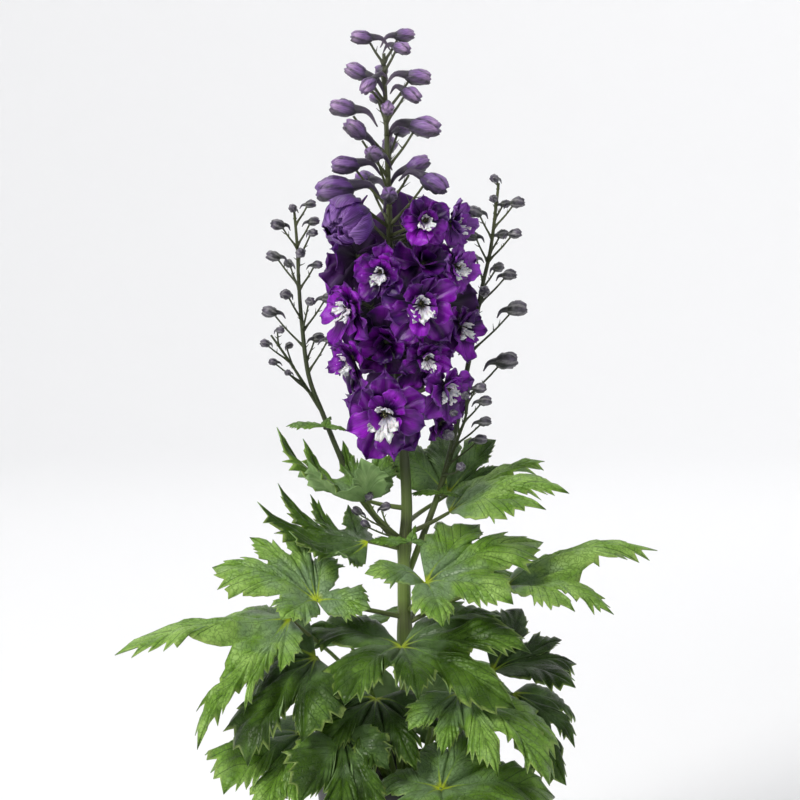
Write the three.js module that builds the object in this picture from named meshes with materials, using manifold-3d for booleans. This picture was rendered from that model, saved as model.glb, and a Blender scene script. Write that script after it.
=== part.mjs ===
// A tall garden delphinium in a plain nursery pot: a flowering main spike with violet semi-double
// blooms and white bees, two thinner side spikes still in bud, and palmate leaves on long petioles.
// Millimetres, +Z up. The origin is the middle of the pot's flat underside, and the plant shows its
// best side towards -Y.
import * as THREE from "three";
import { mergeVertices } from "three/addons/utils/BufferGeometryUtils.js";
import Module from "manifold-3d";

const wasm = await Module();
wasm.setup();

// ---- Driving dimensions ----
const POT_HEIGHT = 128;
const POT_RIM_RADIUS = 72;
const POT_FOOT_RADIUS = 55;
const POT_WALL = 1.8;
const POT_FLOOR = 2.4;
const POT_SIDES = 20;
const SOIL_TOP = 120;
const CROWN_RADIUS = 13; // ring on which the petioles leave the soil
const ROOT_DEPTH = 9; // how far stems and petioles go down into the soil
const CLEARANCE = 0.3; // gap between pieces that touch
const LEAF_THICKNESS = 0.8;
const PETAL_THICKNESS = 0.7;
const DEGREE = Math.PI / 180;
const UP = new THREE.Vector3(0, 0, 1);

// Main stem: the points that it grows through, and its radius at heights above the table.
const MAIN_STEM = [
  [1, 0, SOIL_TOP - ROOT_DEPTH], [0, 0, 166], [-2, 0, 220], [-3, 0, 289], [-1, 0, 334], [-6, 0, 410],
  [-12, 0, 485], [-14, 0, 545], [-16, 0, 611], [-18, 0, 668],
];
const MAIN_STEM_RADII = [[SOIL_TOP, 6.4], [262, 5.8], [330, 4.8], [450, 3], [560, 2.1], [668, 1.2]];

// ---- General helpers ----
const vector = ([x, y, z]) => new THREE.Vector3(x, y, z);

// Repeatable random numbers from 0 to 1.
function randomFrom(seed) {
  let state = seed;
  return () => {
    state = (state + 0x6d2b79f5) | 0;
    let mixed = Math.imul(state ^ (state >>> 15), 1 | state);
    mixed = (mixed + Math.imul(mixed ^ (mixed >>> 7), 61 | mixed)) ^ mixed;
    return ((mixed ^ (mixed >>> 14)) >>> 0) / 2 ** 32;
  };
}

// Value at x on straight lines through [x, value] pairs.
function interpolate(pairs, x) {
  const after = pairs.findIndex(([at]) => at >= x);
  if (after === 0) return pairs[0][1];
  if (after < 0) return pairs[pairs.length - 1][1];
  const [[x0, v0], [x1, v1]] = [pairs[after - 1], pairs[after]];
  return v0 + ((v1 - v0) * (x - x0)) / (x1 - x0);
}

// A closed geometry as a manifold-3d solid, with triangles that have no area left out.
function toSolid(geometry) {
  const bare = new THREE.BufferGeometry();
  bare.setAttribute("position", geometry.getAttribute("position"));
  bare.setIndex(geometry.index);
  const merged = mergeVertices(bare);
  const corners = merged.index.array;
  const triVerts = [];
  for (let i = 0; i < corners.length; i += 3) {
    const [a, b, c] = corners.slice(i, i + 3);
    if (a !== b && b !== c && c !== a) triVerts.push(a, b, c);
  }
  const vertProperties = new Float32Array(merged.getAttribute("position").array);
  const build = (order) =>
    new wasm.Manifold(new wasm.Mesh({ numProp: 3, vertProperties, triVerts: new Uint32Array(order) }));
  const made = build(triVerts);
  return made.volume() < 0 ? build(triVerts.reverse()) : made;
}

function toGeometry(solid) {
  const { numProp, vertProperties, triVerts } = solid.getMesh();
  const position = new Float32Array((vertProperties.length / numProp) * 3);
  for (let i = 0; i * numProp < vertProperties.length; i++) {
    position.set(vertProperties.subarray(i * numProp, i * numProp + 3), i * 3);
  }
  const geometry = new THREE.BufferGeometry();
  geometry.setAttribute("position", new THREE.BufferAttribute(position, 3));
  geometry.setIndex(new THREE.BufferAttribute(triVerts, 1));
  geometry.computeVertexNormals();
  return geometry;
}

const fuse = (solids) => solids.reduce((all, next) => all.add(next));

// Drops loose scraps that a cut leaves.
const largestBody = (solid) =>
  solid.decompose().reduce((best, body) => (body.volume() > best.volume() ? body : best));

// A round bar along a smooth curve through points, with a ring of corners at each share of its
// length. radiusAt takes that share.
function bar(points, radiusAt, shares, sides) {
  const path = new THREE.CatmullRomCurve3(points);
  const rings = [];
  const faces = [];
  const normal = new THREE.Vector3(0.3, 0.9, 0.1);
  for (const share of shares) {
    const tangent = path.getTangentAt(share);
    normal.addScaledVector(tangent, -normal.dot(tangent)).normalize();
    const binormal = new THREE.Vector3().crossVectors(tangent, normal);
    const centre = path.getPointAt(share);
    for (let j = 0; j < sides; j++) {
      const angle = (2 * Math.PI * j) / sides;
      const out = normal.clone().multiplyScalar(Math.cos(angle)).addScaledVector(binormal, Math.sin(angle));
      rings.push(centre.clone().addScaledVector(out, radiusAt(share)));
    }
  }
  const last = (shares.length - 1) * sides;
  for (let ring = 0; ring < last; ring += sides) {
    for (let j = 0; j < sides; j++) {
      const [a, b] = [ring + j, ring + ((j + 1) % sides)];
      faces.push(a, b, b + sides, a, b + sides, a + sides);
    }
  }
  for (let j = 1; j < sides - 1; j++) {
    faces.push(0, j + 1, j, last, last + j, last + j + 1);
  }
  const geometry = new THREE.BufferGeometry().setFromPoints(rings);
  geometry.setIndex(faces);
  return toSolid(geometry);
}

// Shares from 0 to 1 in equal steps.
const steps = (count) => Array.from({ length: count + 1 }, (_, i) => i / count);

const taper = (from, to) => (share) => from + (to - from) * share;

// A thin sheet with the same triangles on both faces, joined by a wall round its edge. swell grows
// it every way.
function sheet(points, faces, thickness, swell) {
  const middle = new THREE.BufferGeometry().setFromPoints(points);
  middle.setIndex(faces.flat());
  middle.computeVertexNormals();
  const normal = middle.getAttribute("normal");
  const normals = points.map((_, i) => new THREE.Vector3().fromBufferAttribute(normal, i));
  const edges = new Set(faces.flatMap(([a, b, c]) => [`${a},${b}`, `${b},${c}`, `${c},${a}`]));
  const rim = [...edges]
    .map((edge) => edge.split(",").map(Number))
    .filter(([a, b]) => !edges.has(`${b},${a}`));
  const outward = points.map(() => new THREE.Vector3());
  for (const [a, b] of rim) {
    const away = points[b].clone().sub(points[a]).cross(normals[a]).normalize();
    outward[a].add(away);
    outward[b].add(away);
  }
  const shifted = (distance) =>
    points.map((point, i) =>
      point.clone().addScaledVector(outward[i].normalize(), swell).addScaledVector(normals[i], distance));
  const count = points.length;
  const walls = rim.flatMap(([a, b]) => [b, a, a + count, b, a + count, b + count]);
  const under = faces.flatMap(([a, b, c]) => [a + count, c + count, b + count]);
  const geometry = new THREE.BufferGeometry();
  geometry.setFromPoints([...shifted(thickness / 2 + swell), ...shifted(-thickness / 2 - swell)]);
  geometry.setIndex([...faces.flat(), ...under, ...walls]);
  return toSolid(geometry);
}

// Point of a stem, given as points that rise steadily, at a height.
function stemPointAt(stem, height) {
  const axis = (k) => interpolate(stem.map((point) => [point[2], point[k]]), height);
  return new THREE.Vector3(axis(0), axis(1), height);
}

// ---- Pot and soil ----
function pot() {
  const rimBand = 12;
  const rimProud = 2;
  const holeRadius = 5;
  const holeRing = 34;
  const holeCount = 4;
  const inner = (radius) => radius - POT_WALL;
  const profile = [
    [0, 0],
    [POT_FOOT_RADIUS, 0],
    [POT_RIM_RADIUS - rimProud - 1, POT_HEIGHT - rimBand - 1.5],
    [POT_RIM_RADIUS, POT_HEIGHT - rimBand],
    [POT_RIM_RADIUS, POT_HEIGHT],
    [inner(POT_RIM_RADIUS), POT_HEIGHT],
    [inner(POT_RIM_RADIUS - rimProud), POT_HEIGHT - rimBand - 2],
    [inner(POT_FOOT_RADIUS), POT_FLOOR],
    [0, POT_FLOOR],
  ];
  const outline = profile.map(([r, z]) => new THREE.Vector2(r, z));
  const shell = toSolid(upright(new THREE.LatheGeometry(outline, POT_SIDES)));
  const holes = Array.from({ length: holeCount }, (_, i) => {
    const angle = (2 * Math.PI * i) / holeCount;
    const hole = upright(new THREE.CylinderGeometry(holeRadius, holeRadius, 4 * POT_FLOOR, 8));
    return toSolid(hole.translate(holeRing * Math.cos(angle), holeRing * Math.sin(angle), 0));
  });
  return holes.reduce((rest, hole) => rest.subtract(hole), shell);
}

// Turns a geometry that stands on +Y so that it stands on +Z.
const upright = (geometry) => geometry.rotateX(Math.PI / 2);

// Potting mix: a plug that follows the pot's inside, with a crumbly top that rises towards the crown.
function soil(plants) {
  const sectors = 12;
  const random = randomFrom(11);
  const crumble = 2.4;
  const mound = 3;
  const inside = (height) => {
    const share = (height - POT_FLOOR) / (POT_HEIGHT - 14 - POT_FLOOR);
    return POT_FOOT_RADIUS + (POT_RIM_RADIUS - 2 - POT_FOOT_RADIUS) * Math.min(share, 1) - POT_WALL - 0.6;
  };
  const rings = [
    [1, POT_FLOOR + CLEARANCE],
    [1, SOIL_TOP - 4],
    [0.66, SOIL_TOP - 4],
    [0.3, SOIL_TOP - 4],
  ];
  const points = [new THREE.Vector3(0, 0, POT_FLOOR + CLEARANCE)];
  rings.forEach(([share, height], ring) => {
    for (let j = 0; j < sectors; j++) {
      const angle = (2 * Math.PI * j) / sectors;
      const radius = inside(height) * share * Math.cos(Math.PI / POT_SIDES);
      const lift = ring < 2 ? 0 : mound * (1.1 - share) + crumble * (random() - 0.2);
      points.push(new THREE.Vector3(radius * Math.cos(angle), radius * Math.sin(angle), height + lift));
    }
  });
  points.push(new THREE.Vector3(0, 0, SOIL_TOP));
  const faces = [];
  const at = (ring, j) => 1 + ring * sectors + (j % sectors);
  for (let j = 0; j < sectors; j++) {
    faces.push(0, at(0, j + 1), at(0, j));
    for (let ring = 0; ring < rings.length - 1; ring++) {
      faces.push(at(ring, j), at(ring, j + 1), at(ring + 1, j + 1));
      faces.push(at(ring, j), at(ring + 1, j + 1), at(ring + 1, j));
    }
    faces.push(at(rings.length - 1, j), at(rings.length - 1, j + 1), points.length - 1);
  }
  const geometry = new THREE.BufferGeometry().setFromPoints(points);
  geometry.setIndex(faces);
  return largestBody(plants.reduce((rest, plant) => rest.subtract(plant), toSolid(geometry)));
}

// ---- Leaves ----
// One half of a lobe, as shares of the lobe's length along and across its midrib.
const MIDRIB = [0.36, 0.7];
const SINUS = [0.45, 0.18];
const TEETH = [[0.62, 0.36], [0.66, 0.21], [0.84, 0.22], [0.86, 0.1]];
// Corners of a half lobe: 0 junction, 1-2 midrib, 3 tip, 4 sinus, 5-8 teeth.
const HALF_LOBE_FACES = [
  [0, 1, 4], [1, 5, 4], [1, 6, 5], [1, 2, 6], [2, 7, 6], [2, 8, 7], [2, 3, 8],
];
const FULL_SPREAD = 62 * DEGREE; // angle to the next lobe that leaves room for full teeth

// The lobes of a blade, each with its length, direction, side and upward normal. Tips run
// anticlockwise from above. turn, from 0 to 1, faces the lobes away from the plane through their
// neighbours towards the vector over.
function lobesOf(junction, tips, turn, over) {
  const reach = tips.map((tip) => tip.clone().sub(junction));
  const crosses = reach.slice(1).map((next, i) => reach[i].clone().cross(next).normalize());
  return reach.map((along, i) => {
    const length = along.length();
    const direction = along.clone().normalize();
    const before = crosses[Math.max(i - 1, 0)];
    const after = crosses[Math.min(i, crosses.length - 1)];
    const side = before.clone().add(after).normalize().lerp(over, turn).cross(direction).normalize();
    const normal = direction.clone().cross(side).normalize();
    const gap = (other) => (other ? Math.min(1.1, direction.angleTo(other) / FULL_SPREAD) : 1);
    return { length, direction, side, normal, room: [gap(reach[i - 1]), gap(reach[i + 1])] };
  });
}

// A palmate blade: toothed lobes that spread from the junction and share the sinus points between them.
function blade({ junction, tips, arch = 0.12, breadth = 1, turn = 0, over = [0, 0, 1], seed = 1 }, swell) {
  const centre = vector(junction);
  const lobes = lobesOf(centre, tips.map(vector), turn, vector(over).normalize());
  const random = randomFrom(seed);
  const fold = 0.14; // how far a lobe's halves drop beside its midrib
  const points = [centre];
  const faces = [];
  const add = (point) => points.push(point) - 1;
  const place = ({ length, direction, side, normal }, along, across) => {
    const rise = 4 * arch * along * (1 - along) - fold * Math.abs(across);
    return centre.clone().addScaledVector(direction, along * length)
      .addScaledVector(side, across * breadth * length).addScaledVector(normal, rise * length);
  };
  const sinusBetween = (a, b) => {
    const left = place(a, SINUS[0], SINUS[1] * a.room[1]);
    return left.add(place(b, SINUS[0], -SINUS[1] * b.room[0])).multiplyScalar(0.5);
  };
  const sinuses = lobes.slice(1).map((lobe, i) => add(sinusBetween(lobes[i], lobe)));
  sinuses.unshift(add(place(lobes[0], 0.26, -0.22)));
  sinuses.push(add(place(lobes.at(-1), 0.26, 0.22)));
  lobes.forEach((lobe, i) => {
    const midrib = [...MIDRIB, 1].map((share) => add(place(lobe, share, 0)));
    for (const half of [0, 1]) {
      const sign = half ? 1 : -1;
      const teeth = TEETH.map(([along, across]) => {
        const ragged = 1 + 0.16 * (random() - 0.5);
        const reach = along * (1 + 0.05 * (random() - 0.5));
        return add(place(lobe, reach, sign * across * ragged * lobe.room[half]));
      });
      const corner = [0, ...midrib, sinuses[i + half], ...teeth];
      for (const [a, b, c] of HALF_LOBE_FACES) {
        faces.push(half ? [corner[a], corner[b], corner[c]] : [corner[a], corner[c], corner[b]]);
      }
    }
  });
  return sheet(points, faces, LEAF_THICKNESS, swell);
}

// The stalk of a leaf, from its root to just under the blade's junction.
function petiole({ root, via = [], junction, thick = 2 }, swell) {
  const width = taper(thick * 1.25 + swell, thick * 0.75 + swell);
  return bar([root, ...via, junction].map(vector), width, steps(3), 4);
}

const leafSolid = (leaf, swell = 0) => fuse([petiole(leaf, swell), blade(leaf, swell)]);

// A root on the crown's ring, at an angle seen from above, below the soil's surface.
const crownRoot = (angle, ring = CROWN_RADIUS) => [
  ring * Math.cos(angle * DEGREE),
  ring * Math.sin(angle * DEGREE),
  SOIL_TOP - ROOT_DEPTH,
];

// Each leaf: its root, the points its petiole bends through, the junction of its lobes, and their tips.
const LEAVES = {
  leaf_centre: {
    root: crownRoot(265), via: [[-4, -24, 180]], junction: [-5, -34, 229],
    tips: [[-77, -5, 235], [-46, -106, 200], [7, -107, 204], [78, -89, 193], [90, -71, 233], [70, -1, 247]],
  },
  leaf_right_high: {
    root: [0, 0, 250], via: [[8, -20, 262]], junction: [13, -36, 277],
    tips: [[-32, -55, 288], [25, -90, 254], [76, -88, 270], [102, -3, 302], [55, 20, 314]],
  },
  leaf_left_high: {
    root: [-2, 0, 245], via: [[-34, -14, 254]], junction: [-68, -30, 263],
    tips: [[-27, -51, 260], [-96, 29, 305], [-145, -2, 289], [-93, -72, 254]],
  },
  leaf_left_long: {
    root: crownRoot(190), via: [[-38, -8, 195]], junction: [-87, -44, 252],
    tips: [[-138, 30, 240], [-212, -91, 233], [-151, -122, 172], [-117, -109, 205]],
    arch: 0.04, breadth: 0.85, turn: 0.85, over: [0, 0.35, 1],
  },
  leaf_left_mid: {
    root: crownRoot(215), via: [[-42, -34, 180]], junction: [-68, -48, 224],
    tips: [[-111, 13, 225], [-118, -13, 190], [-114, -111, 155], [-76, -106, 172]],
  },
  leaf_left_low: {
    root: crownRoot(200, 16), via: [[-45, -28, 150]], junction: [-78, -50, 167],
    tips: [[-130, -4, 147], [-133, -106, 134], [-110, -114, 109], [-80, -115, 124], [-63, -88, 142]],
  },
  leaf_front_left: {
    root: crownRoot(235), via: [[-28, -40, 150]], junction: [-49, -62, 171],
    tips: [[-78, -117, 132], [-52, -128, 100], [-16, -112, 112], [-14, -91, 150]],
  },
  leaf_crown: {
    root: crownRoot(255, 17), via: [[-10, -25, 160]], junction: [-24, -34, 190],
    tips: [[-58, -52, 186], [-56, -84, 160], [-20, -86, 158], [8, -66, 180]],
  },
  leaf_front: {
    root: crownRoot(285, 16), via: [[14, -45, 135]], junction: [24, -80, 132],
    tips: [
      [-22, -56, 130], [-6, -128, 113], [68, -143, 117], [109, -54, 121], [52, -29, 163], [21, -36, 156],
    ],
  },
  leaf_right_low: {
    root: crownRoot(305), via: [[16, -18, 150]], junction: [38, -46, 196],
    tips: [[13, -83, 186], [24, -92, 164], [64, -118, 149], [101, -115, 142], [114, -24, 149]],
  },
  leaf_right_low_back: {
    root: crownRoot(345), via: [[42, 2, 150]], junction: [80, 10, 185],
    tips: [[119, -20, 120], [128, 0, 146], [130, 45, 155]],
  },
  leaf_right_dark: {
    root: crownRoot(15), via: [[34, 16, 165]], junction: [64, 16, 200],
    tips: [[126, -20, 195], [131, 47, 200], [120, 58, 216], [89, 65, 240]],
  },
  leaf_right_long: {
    root: [-2, 0, 240], via: [[40, 4, 260]], junction: [72, -4, 269],
    tips: [[123, -51, 259], [152, -47, 253], [189, 8, 294], [141, 37, 285]], breadth: 0.8, turn: 0.7,
  },
  leaf_upper_right: {
    root: [-2, 0, 308], via: [[16, 4, 316]], junction: [31, 6, 324],
    tips: [[101, -46, 335], [119, -26, 345], [105, 43, 359], [72, 61, 347]],
  },
  leaf_upper_back: {
    root: [-2, 0, 316], via: [[10, 25, 322]], junction: [30, 32, 334],
    tips: [[70, 52, 354], [66, 60, 371], [26, 66, 366], [8, 56, 350]],
  },
  leaf_upper_left: {
    root: [-1, 0, 328], via: [[-18, -3, 331]], junction: [-32, -5, 337],
    tips: [[-34, 8, 374], [-78, 8, 380], [-98, -12, 389], [-68, -34, 340]], breadth: 1.1,
  },
  leaf_upper_left_low: {
    root: [-3, 0, 297], via: [[-17, -5, 301]], junction: [-28, -8, 306],
    tips: [[-77, 45, 322], [-100, 23, 341], [-113, -18, 334], [-50, -55, 299]],
  },
  leaf_back_right: {
    root: crownRoot(60), via: [[20, 36, 160]], junction: [30, 66, 190],
    tips: [[88, 78, 165], [62, 128, 178], [10, 140, 185], [-20, 100, 200]],
  },
  leaf_back_left: {
    root: crownRoot(125), via: [[-24, 32, 170]], junction: [-45, 58, 215],
    tips: [[-4, 95, 235], [-50, 130, 215], [-108, 98, 190], [-100, 45, 205]],
  },
  leaf_back_low: {
    root: crownRoot(92), via: [[0, 26, 150]], junction: [-2, 38, 176],
    tips: [[50, 40, 182], [36, 60, 140], [-32, 60, 140], [-50, 34, 186]],
  },
  leaf_inner_left: {
    root: crownRoot(165, 10), via: [[-24, 8, 150]], junction: [-44, 16, 186],
    tips: [[-62, 44, 170], [-88, 10, 160], [-66, -22, 150], [-34, -18, 142]],
  },
  leaf_back_high: {
    root: [-2, 0, 236], via: [[12, 28, 256]], junction: [34, 52, 272],
    tips: [[92, 66, 262], [74, 108, 276], [40, 104, 270]],
  },
};

// ---- Buds and blooms ----
// A bud's outline: shares of its length from where the stalk joins it, and of its radius there.
const BUD_PROFILE = [[0, 0.22], [0.42, 0.95], [0.78, 0.86], [1, 0.2]];
const SMALL_BUD_PROFILE = [[0, 0.22], [0.55, 1], [1, 0.34]];
const BUD_PLUMPNESS = 0.36; // radius as a share of length
const BUD_SIDES = 4;

// Buds on their stalks, each one bar with its foot inside the stem. Each row is the middle of a bud
// and its length; a bud points away from the stem.
function buddedStalks(stem, rows, { slender, lift, profile }, swell) {
  const [lowest, highest] = [stem[0][2] + 2, stem.at(-1)[2] - 1];
  return rows.map(([x, y, z, length]) => {
    const centre = new THREE.Vector3(x, y, z);
    const away = centre.clone().sub(stemPointAt(stem, Math.min(z, highest))).setZ(0);
    const reach = away.length();
    const direction = away.normalize().addScaledVector(UP, lift).normalize();
    const base = centre.clone().addScaledVector(direction, -length / 2);
    const foot = stemPointAt(stem, Math.min(Math.max(base.z - 0.35 * reach - 2, lowest), highest));
    const bend = foot.clone().lerp(base, 0.62).addScaledVector(UP, -0.06 * reach);
    const points = [foot, bend, base, base.clone().addScaledVector(direction, length)];
    const start = 1 - length / new THREE.CatmullRomCurve3(points).getLength();
    const plump = BUD_PLUMPNESS * length;
    const swells = profile.map(([share, wide]) => [start + share * (1 - start), wide * plump]);
    const radii = [[0, slender * 1.2], [0.5 * start, slender], ...swells];
    const radiusAt = (share) => interpolate(radii, share) + swell;
    return bar(points, radiusAt, radii.map(([share]) => share), BUD_SIDES);
  });
}

// A whorl of petals as one sheet in the bloom's own frame, where +Z faces out. The petals share the
// middle and the notches between their roots, as far out as the throat. Each row is the share along
// a petal and its half width, before the pointed tip.
const SEPAL_ROWS = [[0.45, 0.86], [0.8, 0.84]];
const INNER_ROWS = [[0.62, 0.95]];
const THROAT = 3;

function whorl(shape, swell) {
  const { count, length, width, cup, curl, twist, rows, start, height, random, throat = THROAT } = shape;
  const step = (2 * Math.PI) / count;
  const points = [new THREE.Vector3(0, 0, height)];
  const faces = [];
  const notch = (i) => 1 + (i % count);
  for (let i = 0; i < count; i++) {
    const corner = new THREE.Vector3(throat, 0, height + 0.4);
    points.push(corner.applyAxisAngle(UP, start + (i - 0.5) * step));
  }
  for (let i = 0; i < count; i++) {
    const angle = start + (i + 0.1 * (random() - 0.5)) * step;
    const reach = length * (1 + 0.14 * (random() - 0.5));
    const rise = cup + 0.16 * (random() - 0.5);
    const place = (along, across) => {
      const flare = 0.5 * width * across;
      const out = throat * 0.7 + (reach - throat) * along * Math.cos(rise);
      const lift = along * Math.sin(rise) + curl * along * along;
      const forward = height + reach * lift + 0.12 * Math.abs(flare);
      const point = new THREE.Vector3(out, flare * Math.cos(twist), forward + flare * Math.sin(twist));
      return points.push(point.applyAxisAngle(UP, angle)) - 1;
    };
    let across = [notch(i), place(0.04, 0), notch(i + 1)];
    faces.push([0, across[0], across[1]], [0, across[1], across[2]]);
    for (const [along, half] of rows) {
      const next = [-half, 0, half].map((side) => place(along, side));
      for (const k of [0, 1]) {
        faces.push([across[k], next[k], next[k + 1]], [across[k], next[k + 1], across[k + 1]]);
      }
      across = next;
    }
    const tip = place(1, 0);
    faces.push([across[0], tip, across[1]], [across[1], tip, across[2]]);
  }
  return sheet(points, faces, PETAL_THICKNESS, swell);
}

// The turn that points a bloom's +Z along its facing direction and keeps its top side up.
function facing(azimuth, elevation) {
  const out = new THREE.Vector3(Math.cos(elevation * DEGREE), 0, Math.sin(elevation * DEGREE));
  out.applyAxisAngle(UP, azimuth * DEGREE);
  const right = new THREE.Vector3().crossVectors(UP, out).normalize();
  return new THREE.Matrix4().makeBasis(right, new THREE.Vector3().crossVectors(out, right), out);
}

// Turns and moves a solid by a three.js matrix.
const placed = (solid, matrix) => solid.transform([...matrix.elements]);

const RECEPTACLE_DEPTH = 6;
const RECEPTACLE_TOP = 2.2;
const LARGE_BLOOM = 28; // radius from which the petals have more corners
const BEE_THROAT = 1.8;
const BEE_SEED = 500;
const BEE_SEAT = RECEPTACLE_TOP + CLEARANCE + PETAL_THICKNESS / 2 + 0.1;

// A bloom's violet body: five broad sepals, an inner whorl, the receptacle that holds both and the
// spur behind.
function corolla({ radius, open = 1, plain = false, seed }, swell) {
  const random = randomFrom(seed);
  const cupOf = (degrees) => (90 - (90 - degrees) * open) * DEGREE;
  const shared = { curl: -0.08 * open, twist: 13 * DEGREE, random };
  const receptacle = upright(new THREE.CylinderGeometry(2.8 + swell, 2.4 + swell, RECEPTACLE_DEPTH, 4));
  receptacle.translate(0, 0, RECEPTACLE_TOP - RECEPTACLE_DEPTH / 2);
  const spur = [[0, 2.2, -1], [0, 9, -0.6 * radius - 3]].map(vector);
  const large = radius > LARGE_BLOOM;
  const sepals = whorl({
    ...shared, count: 5, length: radius, width: 0.94 * radius, cup: cupOf(8), height: 0,
    rows: large ? SEPAL_ROWS : INNER_ROWS, start: 90 * DEGREE,
  }, swell);
  const inner = whorl({
    ...shared, count: large ? 5 : 4, length: 0.68 * radius, width: 0.66 * radius, cup: cupOf(26),
    height: 1.7, rows: INNER_ROWS, start: 54 * DEGREE,
  }, swell);
  const body = [toSolid(receptacle), sepals, bar(spur, taper(1.7 + swell, 0.5 + swell), steps(1), 3)];
  return fuse(plain ? body : [...body, inner]);
}

// The bee: a tuft of four small white petals that flare in front of the bloom's middle.
function bee({ radius, open = 1, seed }, swell) {
  const size = radius * open * open;
  return whorl({
    count: 4, length: 0.44 * size, width: 0.4 * size, cup: (90 - 50 * open) * DEGREE, curl: 0,
    twist: 10 * DEGREE, rows: INNER_ROWS, start: 45 * DEGREE, height: BEE_SEAT, throat: BEE_THROAT,
    random: randomFrom(seed + BEE_SEED),
  }, swell);
}

// Each bloom: the middle of its face, the way it faces seen from above and upwards, and its radius.
// A plain one turns its back or hides its middle, and has the outer whorl only.
const BLOOMS = {
  bloom_bottom: { at: [-16, -46, 405], azimuth: 264, tilt: -4, radius: 32 },
  bloom_centre: { at: [9, -48, 485], azimuth: 275, tilt: 0, radius: 29 },
  bloom_front_top: { at: [12, -38, 545], azimuth: 280, tilt: 6, radius: 20 },
  bloom_front_left: { at: [-19, -42, 508], azimuth: 256, tilt: 4, radius: 22 },
  bloom_right_high: { at: [34, -20, 511], azimuth: 312, tilt: 0, radius: 20 },
  bloom_left_mid: { at: [-42, -28, 483], azimuth: 232, tilt: 0, radius: 25 },
  bloom_right_mid: { at: [38, -20, 467], azimuth: 312, tilt: 0, radius: 21 },
  bloom_left_low: { at: [-41, -24, 443], azimuth: 226, tilt: -6, radius: 23 },
  bloom_front_low: { at: [12, -36, 446], azimuth: 285, tilt: -20, radius: 23 },
  bloom_right_low: { at: [27, -31, 422], azimuth: 300, tilt: -6, radius: 23 },
  bloom_low_side: { at: [24, -4, 393], azimuth: 335, tilt: -32, radius: 17, plain: true },
  bloom_opening: { at: [-36, -26, 545], azimuth: 226, tilt: -14, radius: 31, open: 0.62 },
  bloom_left_back: { at: [-46, 2, 514], azimuth: 140, tilt: -4, radius: 26, plain: true },
  bloom_upper_right: { at: [14, -28, 517], azimuth: 300, tilt: 30, radius: 20, plain: true },
  bloom_right_top: { at: [32, -8, 542], azimuth: 328, tilt: 6, radius: 19 },
  bloom_back_high: { at: [8, 38, 522], azimuth: 80, tilt: 4, radius: 24, plain: true },
  bloom_back_left: { at: [-30, 30, 478], azimuth: 122, tilt: 0, radius: 26, plain: true },
  bloom_back_right: { at: [26, 32, 474], azimuth: 58, tilt: 0, radius: 26, plain: true },
  bloom_inner: { at: [-15, -17, 456], azimuth: 250, tilt: -8, radius: 22, plain: true },
  bloom_back_low: { at: [-14, 38, 428], azimuth: 105, tilt: -6, radius: 28, plain: true },
};

function bloomMatrix({ at, azimuth, tilt }) {
  return facing(azimuth, tilt).setPosition(...at);
}

// Where the stalk of a bloom ends, just behind its receptacle, and the way the bloom faces.
function bloomSeat(bloom) {
  const matrix = bloomMatrix(bloom);
  const direction = new THREE.Vector3().setFromMatrixColumn(matrix, 2);
  const back = RECEPTACLE_DEPTH - RECEPTACLE_TOP + CLEARANCE;
  return { base: vector(bloom.at).addScaledVector(direction, -back), direction };
}

function bloomStalk(stem, bloom, swell) {
  const { base, direction } = bloomSeat(bloom);
  const foot = stemPointAt(stem, base.z - 12);
  const behind = base.clone().addScaledVector(direction, -7);
  const points = [foot, foot.clone().lerp(behind, 0.6), behind, base];
  return bar(points, taper(1.5 + swell, 1.2 + swell), steps(2), 3);
}

// ---- Stems ----
const SIDE_STEM_RADII = [2.6, 1];
const LEFT_STEM = [
  [-4, 3, 297], [-38, 20, 336], [-53, 24, 368], [-64, 22, 396], [-75, 16, 427], [-80, 10, 469], [-82, 8, 500],
  [-83, 8, 525], [-85, 8, 550],
];
const RIGHT_STEM = [
  [0, 3, 277], [24, 15, 340], [36, 15, 386], [43, 15, 423], [49, 15, 454], [55, 15, 490], [62, 15, 522],
  [66, 15, 554], [68, 15, 572],
];
const RIGHT_BRANCH = [[27, 15, 350], [38, -8, 384], [43, -21, 401], [45, -25, 424]];
const LEFT_BRANCH = [[-66, 21, 400], [-78, 16, 420], [-92, 12, 442], [-103, 10, 458]];
const LOW_SPRAY = [[-1, -2, 302], [-14, -14, 315], [-24, -18, 326], [-31, -20, 338]];

// Rows of [x, y, z, length] for the buds of each stem.
const MAIN_BUDS = [
  [-34, -4, 679, 17], [-3, 6, 681, 16], [-5, -9, 671, 16], [-38, 4, 654, 19], [-29, -10, 644, 17],
  [7, 3, 650, 20], [2, -10, 637, 18], [-48, -2, 627, 21], [-15, -20, 627, 16], [-24, 14, 635, 14],
  [-39, -14, 611, 21], [12, -8, 613, 25], [-5, 16, 611, 18], [-25, -22, 593, 20], [-46, -4, 585, 23],
  [7, 2, 585, 21], [19, -10, 572, 23], [-14, -28, 563, 20], [-54, -6, 567, 30], [-20, 22, 655, 17],
  [-14, 26, 600, 20], [-32, 24, 574, 22],
];
const LEFT_BUDS = [
  [-86, 4, 553, 9], [-73, 10, 556, 9], [-97, 2, 541, 12], [-71, 14, 543, 10], [-71, -4, 535, 9],
  [-80, -6, 520, 11], [-101, 12, 517, 12], [-90, 22, 511, 10], [-68, 2, 511, 9], [-91, -4, 489, 11],
  [-73, -8, 484, 10], [-59, 8, 486, 13], [-104, 14, 475, 13], [-68, 20, 455, 11], [-58, 2, 455, 11],
];
const LEFT_BRANCH_BUDS = [
  [-107, 4, 452, 9], [-96, 4, 462, 8], [-90, 22, 449, 8], [-101, 4, 438, 8], [-90, 4, 430, 7],
];
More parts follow.
